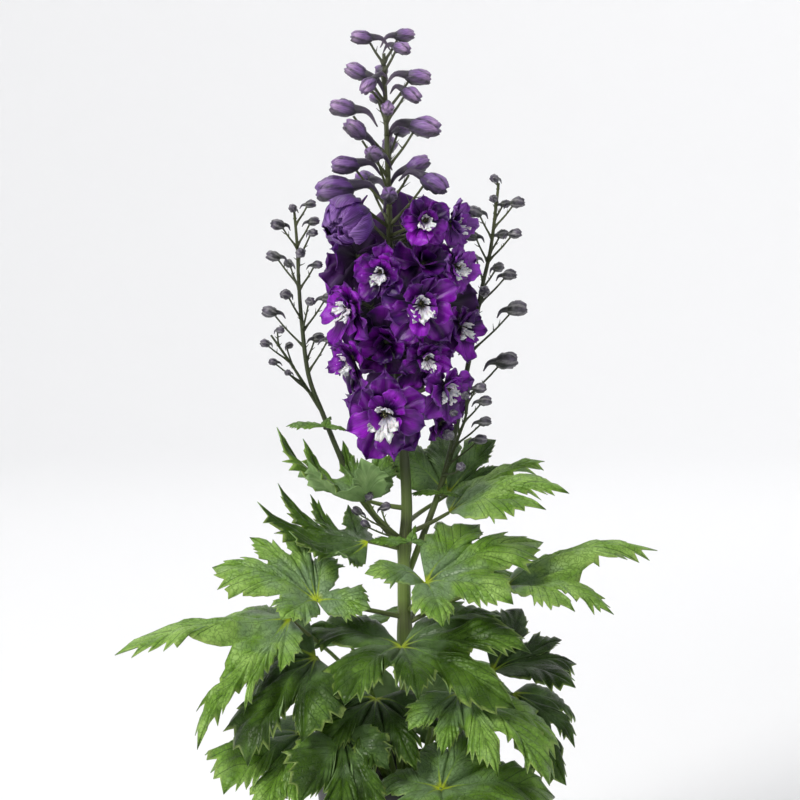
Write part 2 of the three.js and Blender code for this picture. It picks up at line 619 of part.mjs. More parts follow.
const RIGHT_BUDS = [
  [65, 12, 575, 9], [64, 8, 560, 9], [73, 20, 556, 9], [82, 12, 557, 12], [50, 10, 550, 13],
  [71, 22, 533, 11], [80, 8, 534, 11], [48, 20, 532, 12], [49, 6, 516, 10], [68, 24, 508, 11],
  [76, 10, 503, 12], [57, 2, 491, 12], [82, 16, 477, 17], [74, 12, 438, 19],
];
const RIGHT_BRANCH_BUDS = [
  [53, -25, 421, 11], [57, -22, 411, 11], [57, -16, 395, 11], [54, -10, 381, 11], [30, -28, 386, 12],
  [34, -32, 403, 9], [42, -34, 416, 9], [39, -24, 362, 10],
];
const LOW_BUDS = [[-29, -24, 340, 9], [-17, -22, 332, 9], [-38, -16, 328, 9], [-32, -26, 320, 8]];

// Small three-lobed leaves at the forks of the stems: the middle of each, its size and the way it faces.
const SMALL_LEAVES = {
  main: { at: [2, -12, 304], azimuth: 280, tilt: 20, size: 24 },
  left: { at: [-64, 20, 390], azimuth: 250, tilt: 50, size: 24 },
  right: { at: [26, 12, 336], azimuth: 290, tilt: 50, size: 18 },
};

// A small leaf on a short stalk from the nearest point of its stem.
function smallLeaf(stem, { at, azimuth, tilt, size }, swell) {
  const lobes = whorl({
    count: 3, length: size, width: 0.55 * size, cup: 0.2, curl: -0.1, twist: 0, rows: INNER_ROWS,
    start: 90 * DEGREE, height: 0, random: randomFrom(size),
  }, swell);
  const stalk = [stemPointAt(stem, at[2] - 2), vector(at).addScaledVector(UP, -1), vector(at)];
  const matrix = facing(azimuth, tilt).setPosition(...at);
  return placed(lobes, matrix).add(bar(stalk, taper(1.2 + swell, 1 + swell), steps(2), 4));
}

const stemBar = (stem, from, to, swell) =>
  bar(stem.map(vector), taper(from + swell, to + swell), steps(stem.length), 5);

function mainStem(swell) {
  const height = (share) => MAIN_STEM[0][2] + share * (MAIN_STEM.at(-1)[2] - MAIN_STEM[0][2]);
  const radiusAt = (share) => interpolate(MAIN_STEM_RADII, height(share)) + swell;
  return bar(MAIN_STEM.map(vector), radiusAt, steps(9), 6);
}

function mainSpike(swell) {
  const blooms = Object.values(BLOOMS);
  return fuse([
    mainStem(swell),
    ...blooms.map((bloom) => bloomStalk(MAIN_STEM, bloom, swell)),
    ...buddedStalks(MAIN_STEM, MAIN_BUDS, { slender: 1.1, lift: 0.1, profile: BUD_PROFILE }, swell),
    stemBar(LOW_SPRAY, 1.6, 0.8, swell),
    ...buddedStalks(LOW_SPRAY, LOW_BUDS, { slender: 0.8, lift: 0.5, profile: SMALL_BUD_PROFILE }, swell),
    smallLeaf(MAIN_STEM, SMALL_LEAVES.main, swell),
  ]);
}

function sideSpike({ stem, buds, branch, branchBuds, leaf }, swell) {
  const stalks = { slender: 0.8, lift: 0.15, profile: SMALL_BUD_PROFILE };
  return fuse([
    stemBar(stem, ...SIDE_STEM_RADII, swell),
    stemBar(branch, 1.5, 0.8, swell),
    ...buddedStalks(stem, buds, stalks, swell),
    ...buddedStalks(branch, branchBuds, stalks, swell),
    smallLeaf(stem, leaf, swell),
  ]);
}

const LEFT_SPIKE = {
  stem: LEFT_STEM, buds: LEFT_BUDS, leaf: SMALL_LEAVES.left,
  branch: LEFT_BRANCH, branchBuds: LEFT_BRANCH_BUDS,
};
const RIGHT_SPIKE = {
  stem: RIGHT_STEM, buds: RIGHT_BUDS, leaf: SMALL_LEAVES.right,
  branch: RIGHT_BRANCH, branchBuds: RIGHT_BRANCH_BUDS,
};

// ---- The whole plant ----
const MATERIALS = {
  pot: new THREE.MeshStandardMaterial({ color: 0x2b2c2d, roughness: 0.55, metalness: 0 }),
  soil: new THREE.MeshStandardMaterial({ color: 0x231a14, roughness: 0.98, metalness: 0 }),
  stem: new THREE.MeshStandardMaterial({ color: 0x6f8450, roughness: 0.6, metalness: 0 }),
  leaf: new THREE.MeshStandardMaterial({ color: 0x4f7d3d, roughness: 0.6, metalness: 0 }),
  petal: new THREE.MeshStandardMaterial({ color: 0x5f1590, roughness: 0.55, metalness: 0 }),
  bee: new THREE.MeshStandardMaterial({ color: 0xf1eeea, roughness: 0.6, metalness: 0 }),
};

const plant = new THREE.Group();
const keepouts = []; // every placed piece, grown by the clearance that its neighbours leave

// Adds a piece, cut clear of the pieces before it, and keeps its grown shape for those that follow.
function addNode(name, solid, material, grown) {
  const clear = keepouts.reduce((rest, keepout) => rest.subtract(keepout), solid);
  const mesh = new THREE.Mesh(toGeometry(largestBody(clear)), MATERIALS[material].clone());
  mesh.name = name;
  plant.add(mesh);
  if (grown) keepouts.push(grown);
}

addNode("main_spike", mainSpike(0), "stem", mainSpike(CLEARANCE));
addNode("left_spike", sideSpike(LEFT_SPIKE, 0), "stem", sideSpike(LEFT_SPIKE, CLEARANCE));
addNode("right_spike", sideSpike(RIGHT_SPIKE, 0), "stem", sideSpike(RIGHT_SPIKE, CLEARANCE));

Object.entries(BLOOMS).forEach(([name, bloom], index) => {
  const matrix = bloomMatrix(bloom);
  const seeded = { ...bloom, seed: 40 + index };
  const petals = (swell) => placed(corolla(seeded, swell), matrix);
  const tuft = (swell) => placed(bee(seeded, swell), matrix);
  if (bloom.plain) {
    addNode(name, petals(0), "petal", petals(CLEARANCE));
  } else {
    addNode(`${name}_bee`, tuft(0), "bee");
    addNode(name, petals(0), "petal", petals(CLEARANCE).add(tuft(CLEARANCE)));
  }
});

const petioles = {};
Object.entries(LEAVES).forEach(([name, leaf], index) => {
  const seeded = { ...leaf, seed: 7 + index };
  petioles[name] = petiole(seeded, CLEARANCE);
  addNode(name, leafSolid(seeded), "leaf", leafSolid(seeded, CLEARANCE));
});

addNode("soil", soil([mainStem(CLEARANCE), ...Object.values(petioles)]), "soil");
addNode("pot", pot(), "pot");

export default plant;
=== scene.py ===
# A tall garden delphinium in its nursery pot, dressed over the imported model. Metres, +Z up.
import math
import random

import bmesh
import bpy
from mathutils import Matrix, Vector, noise


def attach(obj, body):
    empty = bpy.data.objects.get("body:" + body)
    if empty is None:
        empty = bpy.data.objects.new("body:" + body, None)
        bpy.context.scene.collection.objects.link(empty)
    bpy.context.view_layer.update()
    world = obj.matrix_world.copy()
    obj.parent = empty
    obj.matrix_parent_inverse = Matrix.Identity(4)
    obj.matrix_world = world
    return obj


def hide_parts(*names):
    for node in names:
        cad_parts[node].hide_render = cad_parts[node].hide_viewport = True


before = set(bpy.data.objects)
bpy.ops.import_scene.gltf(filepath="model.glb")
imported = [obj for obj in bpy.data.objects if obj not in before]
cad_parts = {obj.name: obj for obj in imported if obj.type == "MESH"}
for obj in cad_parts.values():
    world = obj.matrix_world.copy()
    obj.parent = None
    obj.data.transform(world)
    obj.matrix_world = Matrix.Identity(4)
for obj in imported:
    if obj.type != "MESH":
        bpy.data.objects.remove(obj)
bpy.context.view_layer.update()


# ---- Camera, floor and lights ----
# A small product studio. One seamless sweep of matt white paper runs up into a round wall, a large
# softbox stands at the upper left in front, and weaker ones at the right and overhead fill in.
CAMERA_AT = (-0.006, -1.9911, 0.5982)
CAMERA_PITCH = 84.6
SWEEP_FLOOR = 3.2
SWEEP_CURVE = 1.3
SWEEP_TOP = 4.2
SWEEP_STEPS = 96
SOFTBOXES = [  # place, target, width, watts, colour
    ((-1.4, -1.6, 1.9), (0, 0, 0.42), 0.75, 50, (1.0, 0.985, 0.955)),
    ((1.9, -1.1, 1.2), (0, 0, 0.35), 1.3, 3, (0.95, 0.97, 1.0)),
    ((0.2, 0.2, 2.4), (0, 0.0, 0.3), 1.0, 7, (1.0, 1.0, 1.0)),
    ((-0.9, 1.7, 3.0), (-0.1, 2.0, 0), 1.8, 29, (1.0, 1.0, 1.0)),
    ((1.3, 2.2, 2.3), (-0.4, 4.0, 0.0), 1.4, 21, (1.0, 1.0, 1.0)),
]

camera = bpy.data.objects.new("camera", bpy.data.cameras.new("camera"))
camera.data.sensor_width = 36
camera.data.lens = 120
camera.data.clip_end = 40
camera.location = CAMERA_AT
camera.rotation_euler = (math.radians(CAMERA_PITCH), 0, 0)
bpy.context.collection.objects.link(camera)
bpy.context.scene.camera = camera
bpy.context.scene.view_settings.view_transform = "Standard"

for i, (place, target, width, watts, colour) in enumerate(SOFTBOXES):
    lamp = bpy.data.lights.new(f"softbox_{i}", "AREA")
    lamp.size = width
    lamp.energy = watts
    lamp.color = colour
    softbox = bpy.data.objects.new(f"softbox_{i}", lamp)
    softbox.location = place
    aim = Vector(target) - Vector(place)
    softbox.rotation_euler = aim.to_track_quat("-Z", "Y").to_euler()
    bpy.context.collection.objects.link(softbox)

world = bpy.data.worlds.new("studio_air")
world.use_nodes = True
world.node_tree.nodes["Background"].inputs["Color"].default_value = (0.96, 0.98, 1.0, 1)
world.node_tree.nodes["Background"].inputs["Strength"].default_value = 0.25
bpy.context.scene.world = world


def linear(hex_colour):
    """An sRGB hex colour as the linear numbers that a shader takes."""
    parts = [int(hex_colour[i:i + 2], 16) / 255 for i in (1, 3, 5)]
    return tuple(c / 12.92 if c <= 0.04045 else ((c + 0.055) / 1.055) ** 2.4 for c in parts) + (1.0,)


def wire(tree, node, inputs):
    """Sets a node's inputs, each to a number, a hex colour, a socket or a node's first output in use."""
    for key, value in inputs.items():
        if isinstance(value, bpy.types.Node):
            value = next(socket for socket in value.outputs if socket.enabled)
        if isinstance(value, bpy.types.NodeSocket):
            tree.links.new(value, node.inputs[key])
        else:
            node.inputs[key].default_value = linear(value) if isinstance(value, str) else value


def add(tree, kind, inputs=None, stops=(), **settings):
    """Adds a shader node with its inputs, its settings and, on a ramp, its stops of place and colour."""
    node = tree.nodes.new("ShaderNode" + kind)
    for key, value in settings.items():
        setattr(node, key, value)
    wire(tree, node, inputs or {})
    for place, _ in stops[1:-1]:
        node.color_ramp.elements.new(place)
    for i, (place, hex_colour) in enumerate(stops):
        stop = node.color_ramp.elements[i]
        stop.position = place
        stop.color = linear(hex_colour)
    return node


def new_material(name, **constants):
    """A material whose Principled shader has these constant sockets. Returns it, its tree and shader."""
    material = bpy.data.materials.new(name)
    material.use_nodes = True
    shader = material.node_tree.nodes["Principled BSDF"]
    wire(material.node_tree, shader, {key.replace("_", " "): value for key, value in constants.items()})
    return material, material.node_tree, shader


# Background paper: matt, uncoated and white, with a faint fibre of about a millimetre.
paper, tree, shader = new_material("matt white background paper", Roughness=0.9)
coords = add(tree, "TexCoord").outputs["Object"]
fibre = add(tree, "TexNoise", {"Vector": coords, "Scale": 900.0, "Detail": 2.0})
shade = add(tree, "ValToRGB", {"Fac": fibre}, stops=[(0.3, "#f8f8f9"), (0.7, "#fafafb")])
wire(tree, shader, {"Base Color": shade})


def spun(bm, profile, steps):
    """A full turn of a profile of (radius, height) points round the Z axis, with closed poles."""
    verts = [bm.verts.new((radius, 0, height)) for radius, height in profile]
    edges = [bm.edges.new(pair) for pair in zip(verts, verts[1:])]
    bmesh.ops.spin(bm, geom=verts + edges, cent=(0, 0, 0), axis=(0, 0, 1), angle=2 * math.pi,
                   steps=steps, use_merge=True)
    bmesh.ops.remove_doubles(bm, verts=bm.verts[:], dist=1e-5)
    bmesh.ops.recalc_face_normals(bm, faces=bm.faces[:])


def put_in_scene(name, bm, materials=()):
    """Hands a finished bmesh over to an object of that name, with its materials."""
    mesh = bpy.data.meshes.new(name)
    bm.to_mesh(mesh)
    bm.free()
    for material in materials:
        mesh.materials.append(material)
    thing = bpy.data.objects.new(name, mesh)
    bpy.context.collection.objects.link(thing)
    return thing


bm = bmesh.new()
curve = [math.radians(6 * k) for k in range(1, 16)]
spun(bm, [(0, 0), (SWEEP_FLOOR, 0)]
     + [(SWEEP_FLOOR + SWEEP_CURVE * math.sin(a), SWEEP_CURVE * (1 - math.cos(a))) for a in curve]
     + [(SWEEP_FLOOR + SWEEP_CURVE, SWEEP_TOP)], SWEEP_STEPS)
for face in bm.faces:
    face.smooth = True
sweep = put_in_scene("paper_sweep", bm, [paper])


# ---- Leaves ----
# Palmate delphinium leaves on long round petioles. Each is one thin blade of green tissue, cut into
# lobes with pointed teeth, with grooved veins above and a paler, duller skin below. They grow in a
# rosette from the crown and, smaller, from the lower nodes of the main stem.
MM = 0.001
SOIL_TOP = 120
ROOT_DEPTH = 9
WELD = 2e-5  # points closer than this are one
BLADE_THICKNESS = 0.55 * MM
LOBE_COLUMNS = 14
PETIOLE_STEPS = 14
PETIOLE_SIDES = 10
FULL_SPREAD = math.radians(62)  # neighbours this far apart both have their full width
# Where the cut between two lobes ends, along and across the lobe, and where the blade's own ends are.
SINUS = (0.56, 0.22)
BLADE_END = (0.26, 0.22)
END_DEPTH = 0.4
# Rows of grid cells from the midrib to the edge of half a lobe. First those inside the cut: the share
# along the midrib, and the share of the way to the end of the cut.
SHARED_ROWS = [(0.0, 0.0), (0.12, 0.35), (0.20, 0.7), (0.27, 1.0)]
# Then those up to the first tooth: the share along the midrib, the share of the way from the end of
# the cut to that tooth, and how far they bulge.
SHOULDER_ROWS = [(0.274, 0.35, 1.0), (0.277, 0.45, 0.5), (0.280, 0.70, 1.0), (0.282, 0.80, 0.4)]
# Then the teeth: the share along the midrib, the edge point along and across the lobe, and 0 on a
# side vein or 1 between two.
TOOTH_ROWS = [
    (0.285, 0.590, 0.268, 0), (0.308, 0.605, 0.252, 1),
    (0.345, 0.700, 0.335, 0), (0.372, 0.705, 0.300, 1),
    (0.395, 0.780, 0.285, 0), (0.440, 0.735, 0.218, 1),
    (0.515, 0.840, 0.225, 0), (0.565, 0.820, 0.184, 1),
    (0.640, 0.912, 0.150, 0), (0.715, 0.890, 0.108, 1),
]
# How uneven a blade is, in shares of a lobe's length and width, and its waves in millimetres.
FALL = 0.14  # a lobe's edges hang below its midrib
BULGE = 0.09
TOOTH_WIDTH_JITTER = 0.14
TOOTH_PLACE_JITTER = 0.04
TOOTH_LIFT = 0.10
VALLEY_LIFT = 0.02
PUFF = 0.10
GROOVE = 0.008
GROOVE_WIDTH = 2.2
QUILT = 0.005
FLAT_NEAR_JUNCTION = 25
WAVES = [(28, 4.6), (10, 1.2)]  # length and height


def crown(angle, ring=13):
    """A root on the crown's ring, at an angle seen from above, just below the soil."""
    turn = math.radians(angle)
    return (ring * math.cos(turn), ring * math.sin(turn), SOIL_TOP - ROOT_DEPTH)


# Each leaf: its root, the point its petiole bends through, the junction of its lobes, their tips, and
# its lightness from 0, dark and bluish, to 1, light and yellowish, which is painted shade on the leaves
# deep inside the plant and painted light on those in front, over their own green. Where a leaf has
# them, arch lifts the middle of its lobes, breadth widens them, cut under 1 takes the cuts further in,
# and turn rolls the lobes to face the direction over.
LEAVES = {
    "leaf_centre": dict(
        root=crown(265), via=(-4, -24, 180), junction=(-5, -34, 229), tone=0.34,
        tips=[(-77, -5, 235), (-46, -106, 200), (7, -107, 204), (78, -89, 193), (90, -71, 233),
              (70, -1, 247)]),
    "leaf_right_high": dict(
        root=(0, 0, 250), via=(8, -20, 262), junction=(13, -36, 277), tone=0.7,
        tips=[(-32, -55, 288), (25, -90, 254), (76, -88, 270), (102, -3, 302), (55, 20, 314)]),
    "leaf_left_high": dict(
        root=(-2, 0, 245), via=(-34, -14, 254), junction=(-68, -30, 263), tone=0.72,
        tips=[(-27, -51, 260), (-63, 6, 293), (-92, 16, 311), (-120, 8, 306), (-147, -12, 287),
              (-93, -72, 254)]),
    "leaf_left_long": dict(
        root=crown(190), via=(-38, -8, 195), junction=(-87, -44, 252), tone=0.72,
        tips=[(-138, 30, 240), (-212, -91, 233), (-151, -122, 172), (-118, -116, 196), (-93, -96, 222)],
        arch=0.05, breadth=0.74, cut=0.72, turn=0.6, over=(0, 0.2, 1)),
    "leaf_left_mid": dict(
        root=crown(215), via=(-42, -34, 180), junction=(-68, -48, 224), tone=0.24,
        tips=[(-111, 13, 225), (-122, -24, 184), (-114, -111, 155), (-76, -106, 172)], breadth=1.2),
    "leaf_left_low": dict(
        root=crown(200, 16), via=(-45, -28, 150), junction=(-78, -50, 167), tone=0.66,
        tips=[(-130, -4, 147), (-133, -106, 134), (-110, -114, 109), (-80, -115, 124), (-63, -88, 142)],
        breadth=1.35),
    "leaf_front_left": dict(
        root=crown(235), via=(-28, -40, 150), junction=(-49, -62, 171), tone=0.3,
        tips=[(-78, -117, 132), (-52, -128, 100), (-16, -112, 112), (-14, -91, 150)], breadth=1.2),
    "leaf_crown": dict(
        root=crown(255, 17), via=(-10, -25, 160), junction=(-24, -34, 190), tone=0.22,
        tips=[(-64, -50, 188), (-66, -86, 158), (-30, -98, 144), (6, -88, 148), (26, -62, 172)]),
    "leaf_front": dict(
        root=crown(285, 16), via=(14, -45, 135), junction=(24, -80, 132), tone=0.54,
        tips=[(-22, -56, 130), (-6, -128, 113), (68, -143, 117), (109, -54, 121), (52, -29, 163),
              (21, -36, 156)], breadth=1.2),
    "leaf_right_low": dict(
        root=crown(305), via=(16, -18, 150), junction=(38, -46, 196), tone=0.65,
        tips=[(0, -80, 176), (24, -96, 160), (64, -118, 149), (101, -115, 142), (114, -24, 149)]),
    "leaf_right_low_back": dict(
        root=crown(345), via=(42, 2, 150), junction=(80, 10, 185), tone=0.26,
        tips=[(119, -20, 120), (128, 0, 146), (130, 45, 155)]),
    "leaf_right_dark": dict(
        root=crown(15), via=(34, 16, 165), junction=(64, 16, 200), tone=0.15,
        tips=[(126, -20, 195), (131, 47, 200), (120, 58, 216), (89, 65, 240)]),
    "leaf_right_long": dict(
        root=(-2, 0, 240), via=(40, 4, 260), junction=(72, -4, 269), tone=0.76, breadth=1.0, turn=0.7,
        tips=[(123, -51, 259), (152, -47, 253), (189, 8, 294), (141, 37, 285)]),
    "leaf_upper_right": dict(
        root=(-2, 0, 308), via=(16, 4, 316), junction=(31, 6, 324), tone=0.68,
        tips=[(101, -46, 335), (119, -26, 345), (105, 43, 359), (72, 61, 347)]),
    "leaf_upper_back": dict(
        root=(-2, 0, 316), via=(10, 25, 322), junction=(30, 32, 334), tone=0.32, breadth=1.25,
        tips=[(70, 52, 354), (68, 60, 372), (24, 66, 377), (-14, 52, 370)]),
    "leaf_upper_left": dict(
        root=(-1, 0, 328), via=(-18, -3, 331), junction=(-31, -8, 335), tone=0.5, breadth=0.95,
        tips=[(-20, 25, 372), (-50, 30, 375), (-80, 24, 377), (-98, -10, 390), (-74, -52, 371),
              (-34, -46, 374)],
        arch=-0.16),
    "leaf_upper_left_low": dict(
        root=(-3, 0, 297), via=(-17, -5, 301), junction=(-30, -8, 304), tone=0.3,
        tips=[(-46, 34, 326), (-75, 27, 334), (-99, 12, 344), (-113, -20, 334), (-88, -48, 317),
              (-52, -46, 302)],
        arch=-0.18),
    "leaf_back_right": dict(
        root=crown(60), via=(20, 36, 160), junction=(30, 66, 190), tone=0.4,
        tips=[(88, 78, 165), (62, 128, 178), (10, 140, 185), (-20, 100, 200)]),
    "leaf_back_left": dict(
        root=crown(125), via=(-24, 32, 170), junction=(-45, 58, 215), tone=0.5,
        tips=[(-4, 95, 235), (-50, 130, 215), (-108, 98, 190), (-100, 45, 205)]),
    "leaf_back_low": dict(
        root=crown(92), via=(0, 26, 150), junction=(-2, 38, 176), tone=0.1,
        tips=[(62, 38, 184), (46, 62, 138), (-34, 62, 138), (-56, 34, 188)], breadth=1.3),
    "leaf_inner_left": dict(
        root=crown(165, 10), via=(-24, 8, 150), junction=(-44, 16, 186), tone=0.1,
        tips=[(-62, 44, 170), (-88, 10, 160), (-66, -22, 150), (-34, -18, 142)]),
    "leaf_back_high": dict(
        root=(-2, 0, 236), via=(12, 28, 256), junction=(34, 52, 272), tone=0.45,
        tips=[(92, 66, 262), (74, 108, 276), (40, 104, 270)]),
}

# Upper leaf skin: living tissue with a thin wax. It is satin rather than glossy, patchy mid green,
# lighter or darker by each leaf's painted light and shade, grooved along the veins, and pale
# yellow-green on its ribs, teeth and the star where the ribs meet.
leaf_upper, tree, shader = new_material("leaf blade, waxy upper skin", Roughness=0.5, Specular_IOR_Level=0.32)
coords = add(tree, "TexCoord").outputs["Object"]
rib, reach, vein, edge, tone = (add(tree, "Attribute", attribute_name=key).outputs["Fac"]
                                for key in ("rib", "reach", "vein", "edge", "tone"))
# Painted light and shade: the leaf's lightness, moved by 22 mm patches, picks its green from near black to
# pale.
patches = add(tree, "TexNoise", {"Vector": coords, "Scale": 45.0, "Detail": 4.0})  # 22 mm patches
shift = add(tree, "MapRange", {0: patches, 1: 0.3, 2: 0.7, 3: -0.2, 4: 0.2})
lightness = add(tree, "Math", {0: tone, 1: shift}, operation="ADD")
fresh = add(tree, "ValToRGB", {"Fac": lightness},
            stops=[(0.0, "#182a00"), (0.3, "#385608"), (0.65, "#6a9230"), (1.0, "#a4c868")])
# A greyish painted sheen, in 13 mm clouds that are thickest near the middle of the leaf and strongest
# on the lightest leaves.
haze = add(tree, "TexNoise", {"Vector": coords, "Scale": 75.0, "Detail": 2.0})
inner = add(tree, "MapRange", {0: reach, 1: 10.0, 2: 55.0, 3: 0.3, 4: -0.25})
hazy = add(tree, "Math", {0: haze, 1: inner}, operation="ADD")
haze_amount = add(tree, "MapRange", {0: hazy, 1: 0.36, 2: 0.7, 3: 0.0, 4: 1.15})
painted_sheen_share = add(tree, "Math", {0: haze_amount, 1: tone}, operation="MULTIPLY")
# The smallest veins: a net of crooked lines round islands of 3 mm.
warp = add(tree, "TexNoise", {"Vector": coords, "Scale": 180.0, "Detail": 2.0})
crooked = add(tree, "VectorMath", {0: warp.outputs["Color"], 3: 0.007}, operation="SCALE")
warped = add(tree, "VectorMath", {0: crooked, 1: coords}, operation="ADD")
cells = add(tree, "TexVoronoi", {"Vector": warped, "Scale": 300.0}, feature="DISTANCE_TO_EDGE")
net = add(tree, "MapRange", {0: cells, 1: 0.01, 2: 0.09, 3: 1.0, 4: 0.0})
net_share = add(tree, "Math", {0: net, 1: 0.36}, operation="MULTIPLY")
vein_share = add(tree, "MapRange", {0: vein, 1: 0.03, 2: 0.14, 3: 0.75, 4: 0.0})
# The ribs: about 2 mm wide at the junction, and under 1 mm from 40 mm out.
rib_width = add(tree, "MapRange", {0: reach, 1: 4.0, 2: 40.0, 3: 1.3, 4: 0.4})
off_rib = add(tree, "Math", {0: rib, 1: rib_width}, operation="DIVIDE")
rib_share = add(tree, "MapRange", {0: off_rib, 1: 0.5, 2: 1.2, 3: 0.8, 4: 0.0})
rib_reach = add(tree, "MapRange", {0: reach, 1: 0.0, 2: 60.0})
rib_colour = add(tree, "ValToRGB", {"Fac": rib_reach},
                 stops=[(0.1, "#a8bf34"), (0.32, "#6f9440"), (0.75, "#2c5212")])
star_share = add(tree, "MapRange", {0: reach, 1: 1.0, 2: 7.0, 3: 0.9, 4: 0.0})
margin_share = add(tree, "MapRange", {0: edge, 1: 0.9, 2: 1.0, 3: 0.0, 4: 0.5})
colour = fresh
for share, over in (
    (painted_sheen_share, "#7c9670"), (net_share, "#1c3c08"), (vein_share, "#1b3a08"), (rib_share, rib_colour),
    (star_share, "#b4c61e"), (margin_share, "#b0c86a"),
):
    colour = add(tree, "Mix", {0: share, 6: colour, 7: over}, data_type="RGBA")
gloss = add(tree, "MapRange", {0: patches, 1: 0.3, 2: 0.7, 3: 0.36, 4: 0.5})
sunk = add(tree, "Math", {0: net, 1: -1.0}, operation="MULTIPLY")
bump = add(tree, "Bump", {"Height": sunk, "Strength": 0.6, "Distance": 0.0008})
wire(tree, shader, {"Base Color": colour, "Roughness": gloss, "Normal": bump})

# Lower leaf skin: the same tissue without wax, pale, matt and slightly hairy, with paler veins.
leaf_under, tree, shader = new_material("leaf blade, pale lower skin", Roughness=0.72)
coords = add(tree, "TexCoord").outputs["Object"]
patches = add(tree, "TexNoise", {"Vector": coords, "Scale": 80.0, "Detail": 3.0})  # 12 mm patches
pale = add(tree, "ValToRGB", {"Fac": patches}, stops=[(0.3, "#6d8e52"), (0.7, "#8aa76a")])
vein = add(tree, "Attribute", attribute_name="vein").outputs["Fac"]
vein_share = add(tree, "MapRange", {0: vein, 1: 0.03, 2: 0.15, 3: 0.3, 4: 0.0})
veined = add(tree, "Mix", {0: vein_share, 6: pale, 7: "#b5c898"}, data_type="RGBA")
down = add(tree, "TexNoise", {"Vector": coords, "Scale": 1500.0, "Detail": 1.0})  # 0.7 mm hairs
bump = add(tree, "Bump", {"Height": down, "Strength": 0.25, "Distance": 0.0004})
wire(tree, shader, {"Base Color": veined, "Normal": bump})

# Green stalk skin: smooth, fibrous and faintly ribbed along its length, with fine down that softens
# the light. Green by the soil, olive in the middle and dark purplish where the flowers begin, partly
# its own colour and partly painted shade under the florets.
stalk_skin, tree, shader = new_material("ribbed green stalk", Roughness=0.48)
coords = add(tree, "TexCoord")
place = add(tree, "SeparateXYZ", {0: coords.outputs["Object"]})
along = add(tree, "MapRange", {0: place.outputs["Z"], 1: 0.12, 2: 0.68})
# Painted shade: from where the florets begin the ramp is dark, on top of the stalk's own olive and purple.
by_height = add(tree, "ValToRGB", {"Fac": along}, stops=[
    (0.0, "#76903a"), (0.3, "#7f9646"), (0.37, "#6c803c"), (0.43, "#3a4420"), (0.6, "#363e22"),
    (0.66, "#383c26"), (0.8, "#4e542c"), (1.0, "#4a4a3c"),
])
# Fibres: about 40 streaks round the stalk.
stretched = add(tree, "Mapping", {"Vector": coords.outputs["UV"], "Scale": (14.0, 1.2, 1.0)})
streaks = add(tree, "TexNoise", {"Vector": stretched, "Scale": 3.0, "Detail": 4.0})
streak_share = add(tree, "MapRange", {0: streaks, 1: 0.35, 2: 0.7, 3: 0.0, 4: 0.5})
# A dark brown band, streaked, rings each of the two nodes that leaves and side spikes grow from.
bands = add(tree, "ValToRGB", {"Fac": along}, stops=[
    (0.19, "#000000"), (0.212, "#ffffff"), (0.23, "#ffffff"), (0.25, "#000000"),
    (0.31, "#000000"), (0.332, "#ffffff"), (0.352, "#ffffff"), (0.375, "#000000"),
])
band_depth = add(tree, "MapRange", {0: streaks, 1: 0.35, 2: 0.65, 3: 0.3, 4: 0.85})
band_share = add(tree, "Math", {0: bands, 1: band_depth}, operation="MULTIPLY")
colour = by_height
for share, over in ((streak_share, "#3f4a2c"), (band_share, "#3f3b2c")):
    colour = add(tree, "Mix", {0: share, 6: colour, 7: over}, data_type="RGBA")
bump = add(tree, "Bump", {"Height": streaks, "Strength": 0.5, "Distance": 0.0008})
wire(tree, shader, {"Base Color": colour, "Normal": bump})


def shaped_grid(bm, columns, rows, place, material=0):
    """A grid moved to place(across, along, vert), with across from -1 to 1 and along from 0 to 1."""
    verts = bmesh.ops.create_grid(bm, x_segments=columns, y_segments=rows, size=1, calc_uvs=True)["verts"]
    for vert in verts:
        vert.co = place(vert.co.x, (vert.co.y + 1) / 2, vert)
    for face in {face for vert in verts for face in vert.link_faces}:
        face.material_index = material
        face.smooth = True
    return verts


def curve_through(points, count):
    """Points on a smooth curve through the given ones, at equal steps of its parameter."""
    points = [Vector(p) for p in points]
    ends = [2 * points[0] - points[1], *points, 2 * points[-1] - points[-2]]
    spans = len(points) - 1
    path = []
    for k in range(count + 1):
        at = min(k / count * spans, spans - 1e-6)
        i = int(at)
        t = at - i
        a, b, c, d = ends[i:i + 4]
        path.append(0.5 * (2 * b + (c - a) * t + (2 * a - 5 * b + 4 * c - d) * t ** 2
                           + (3 * b - 3 * c + d - a) * t ** 3))
    return path


def interpolate(pairs, x):
    """The value at x on straight lines through (x, value) pairs."""
    for (x0, v0), (x1, v1) in zip(pairs, pairs[1:]):
        if x <= x1:
            return v0 + (v1 - v0) * max(0.0, x - x0) / (x1 - x0)
    return pairs[-1][1]


def tube(bm, points, radius_at, steps, sides, material=0):
    """A round stalk with closed ends along a smooth curve. radius_at takes the share of its length."""
    path = curve_through(points, steps)
    normal = Vector((0.3, 0.9, 0.1))
    frames = []
    for i, centre in enumerate(path):
        tangent = (path[min(i + 1, steps)] - path[max(i - 1, 0)]).normalized()
        normal = (normal - tangent * normal.dot(tangent)).normalized()
        frames.append((centre, normal.copy(), tangent.cross(normal)))

    def place(across, along, vert):
        row = round(along * (steps + 2)) - 1
        centre, out, side = frames[min(max(row, 0), steps)]
        closed = row < 0 or row > steps
        radius = 0 if closed else radius_at(row / steps)
        angle = math.pi * across
        return (centre + (out * math.cos(angle) + side * math.sin(angle)) * radius) * MM

    return shaped_grid(bm, sides, steps + 2, place, material)


def each_once(items):
    """The items as a list without repeats, in their own order, so that every run is the same."""
    return list(dict.fromkeys(items))


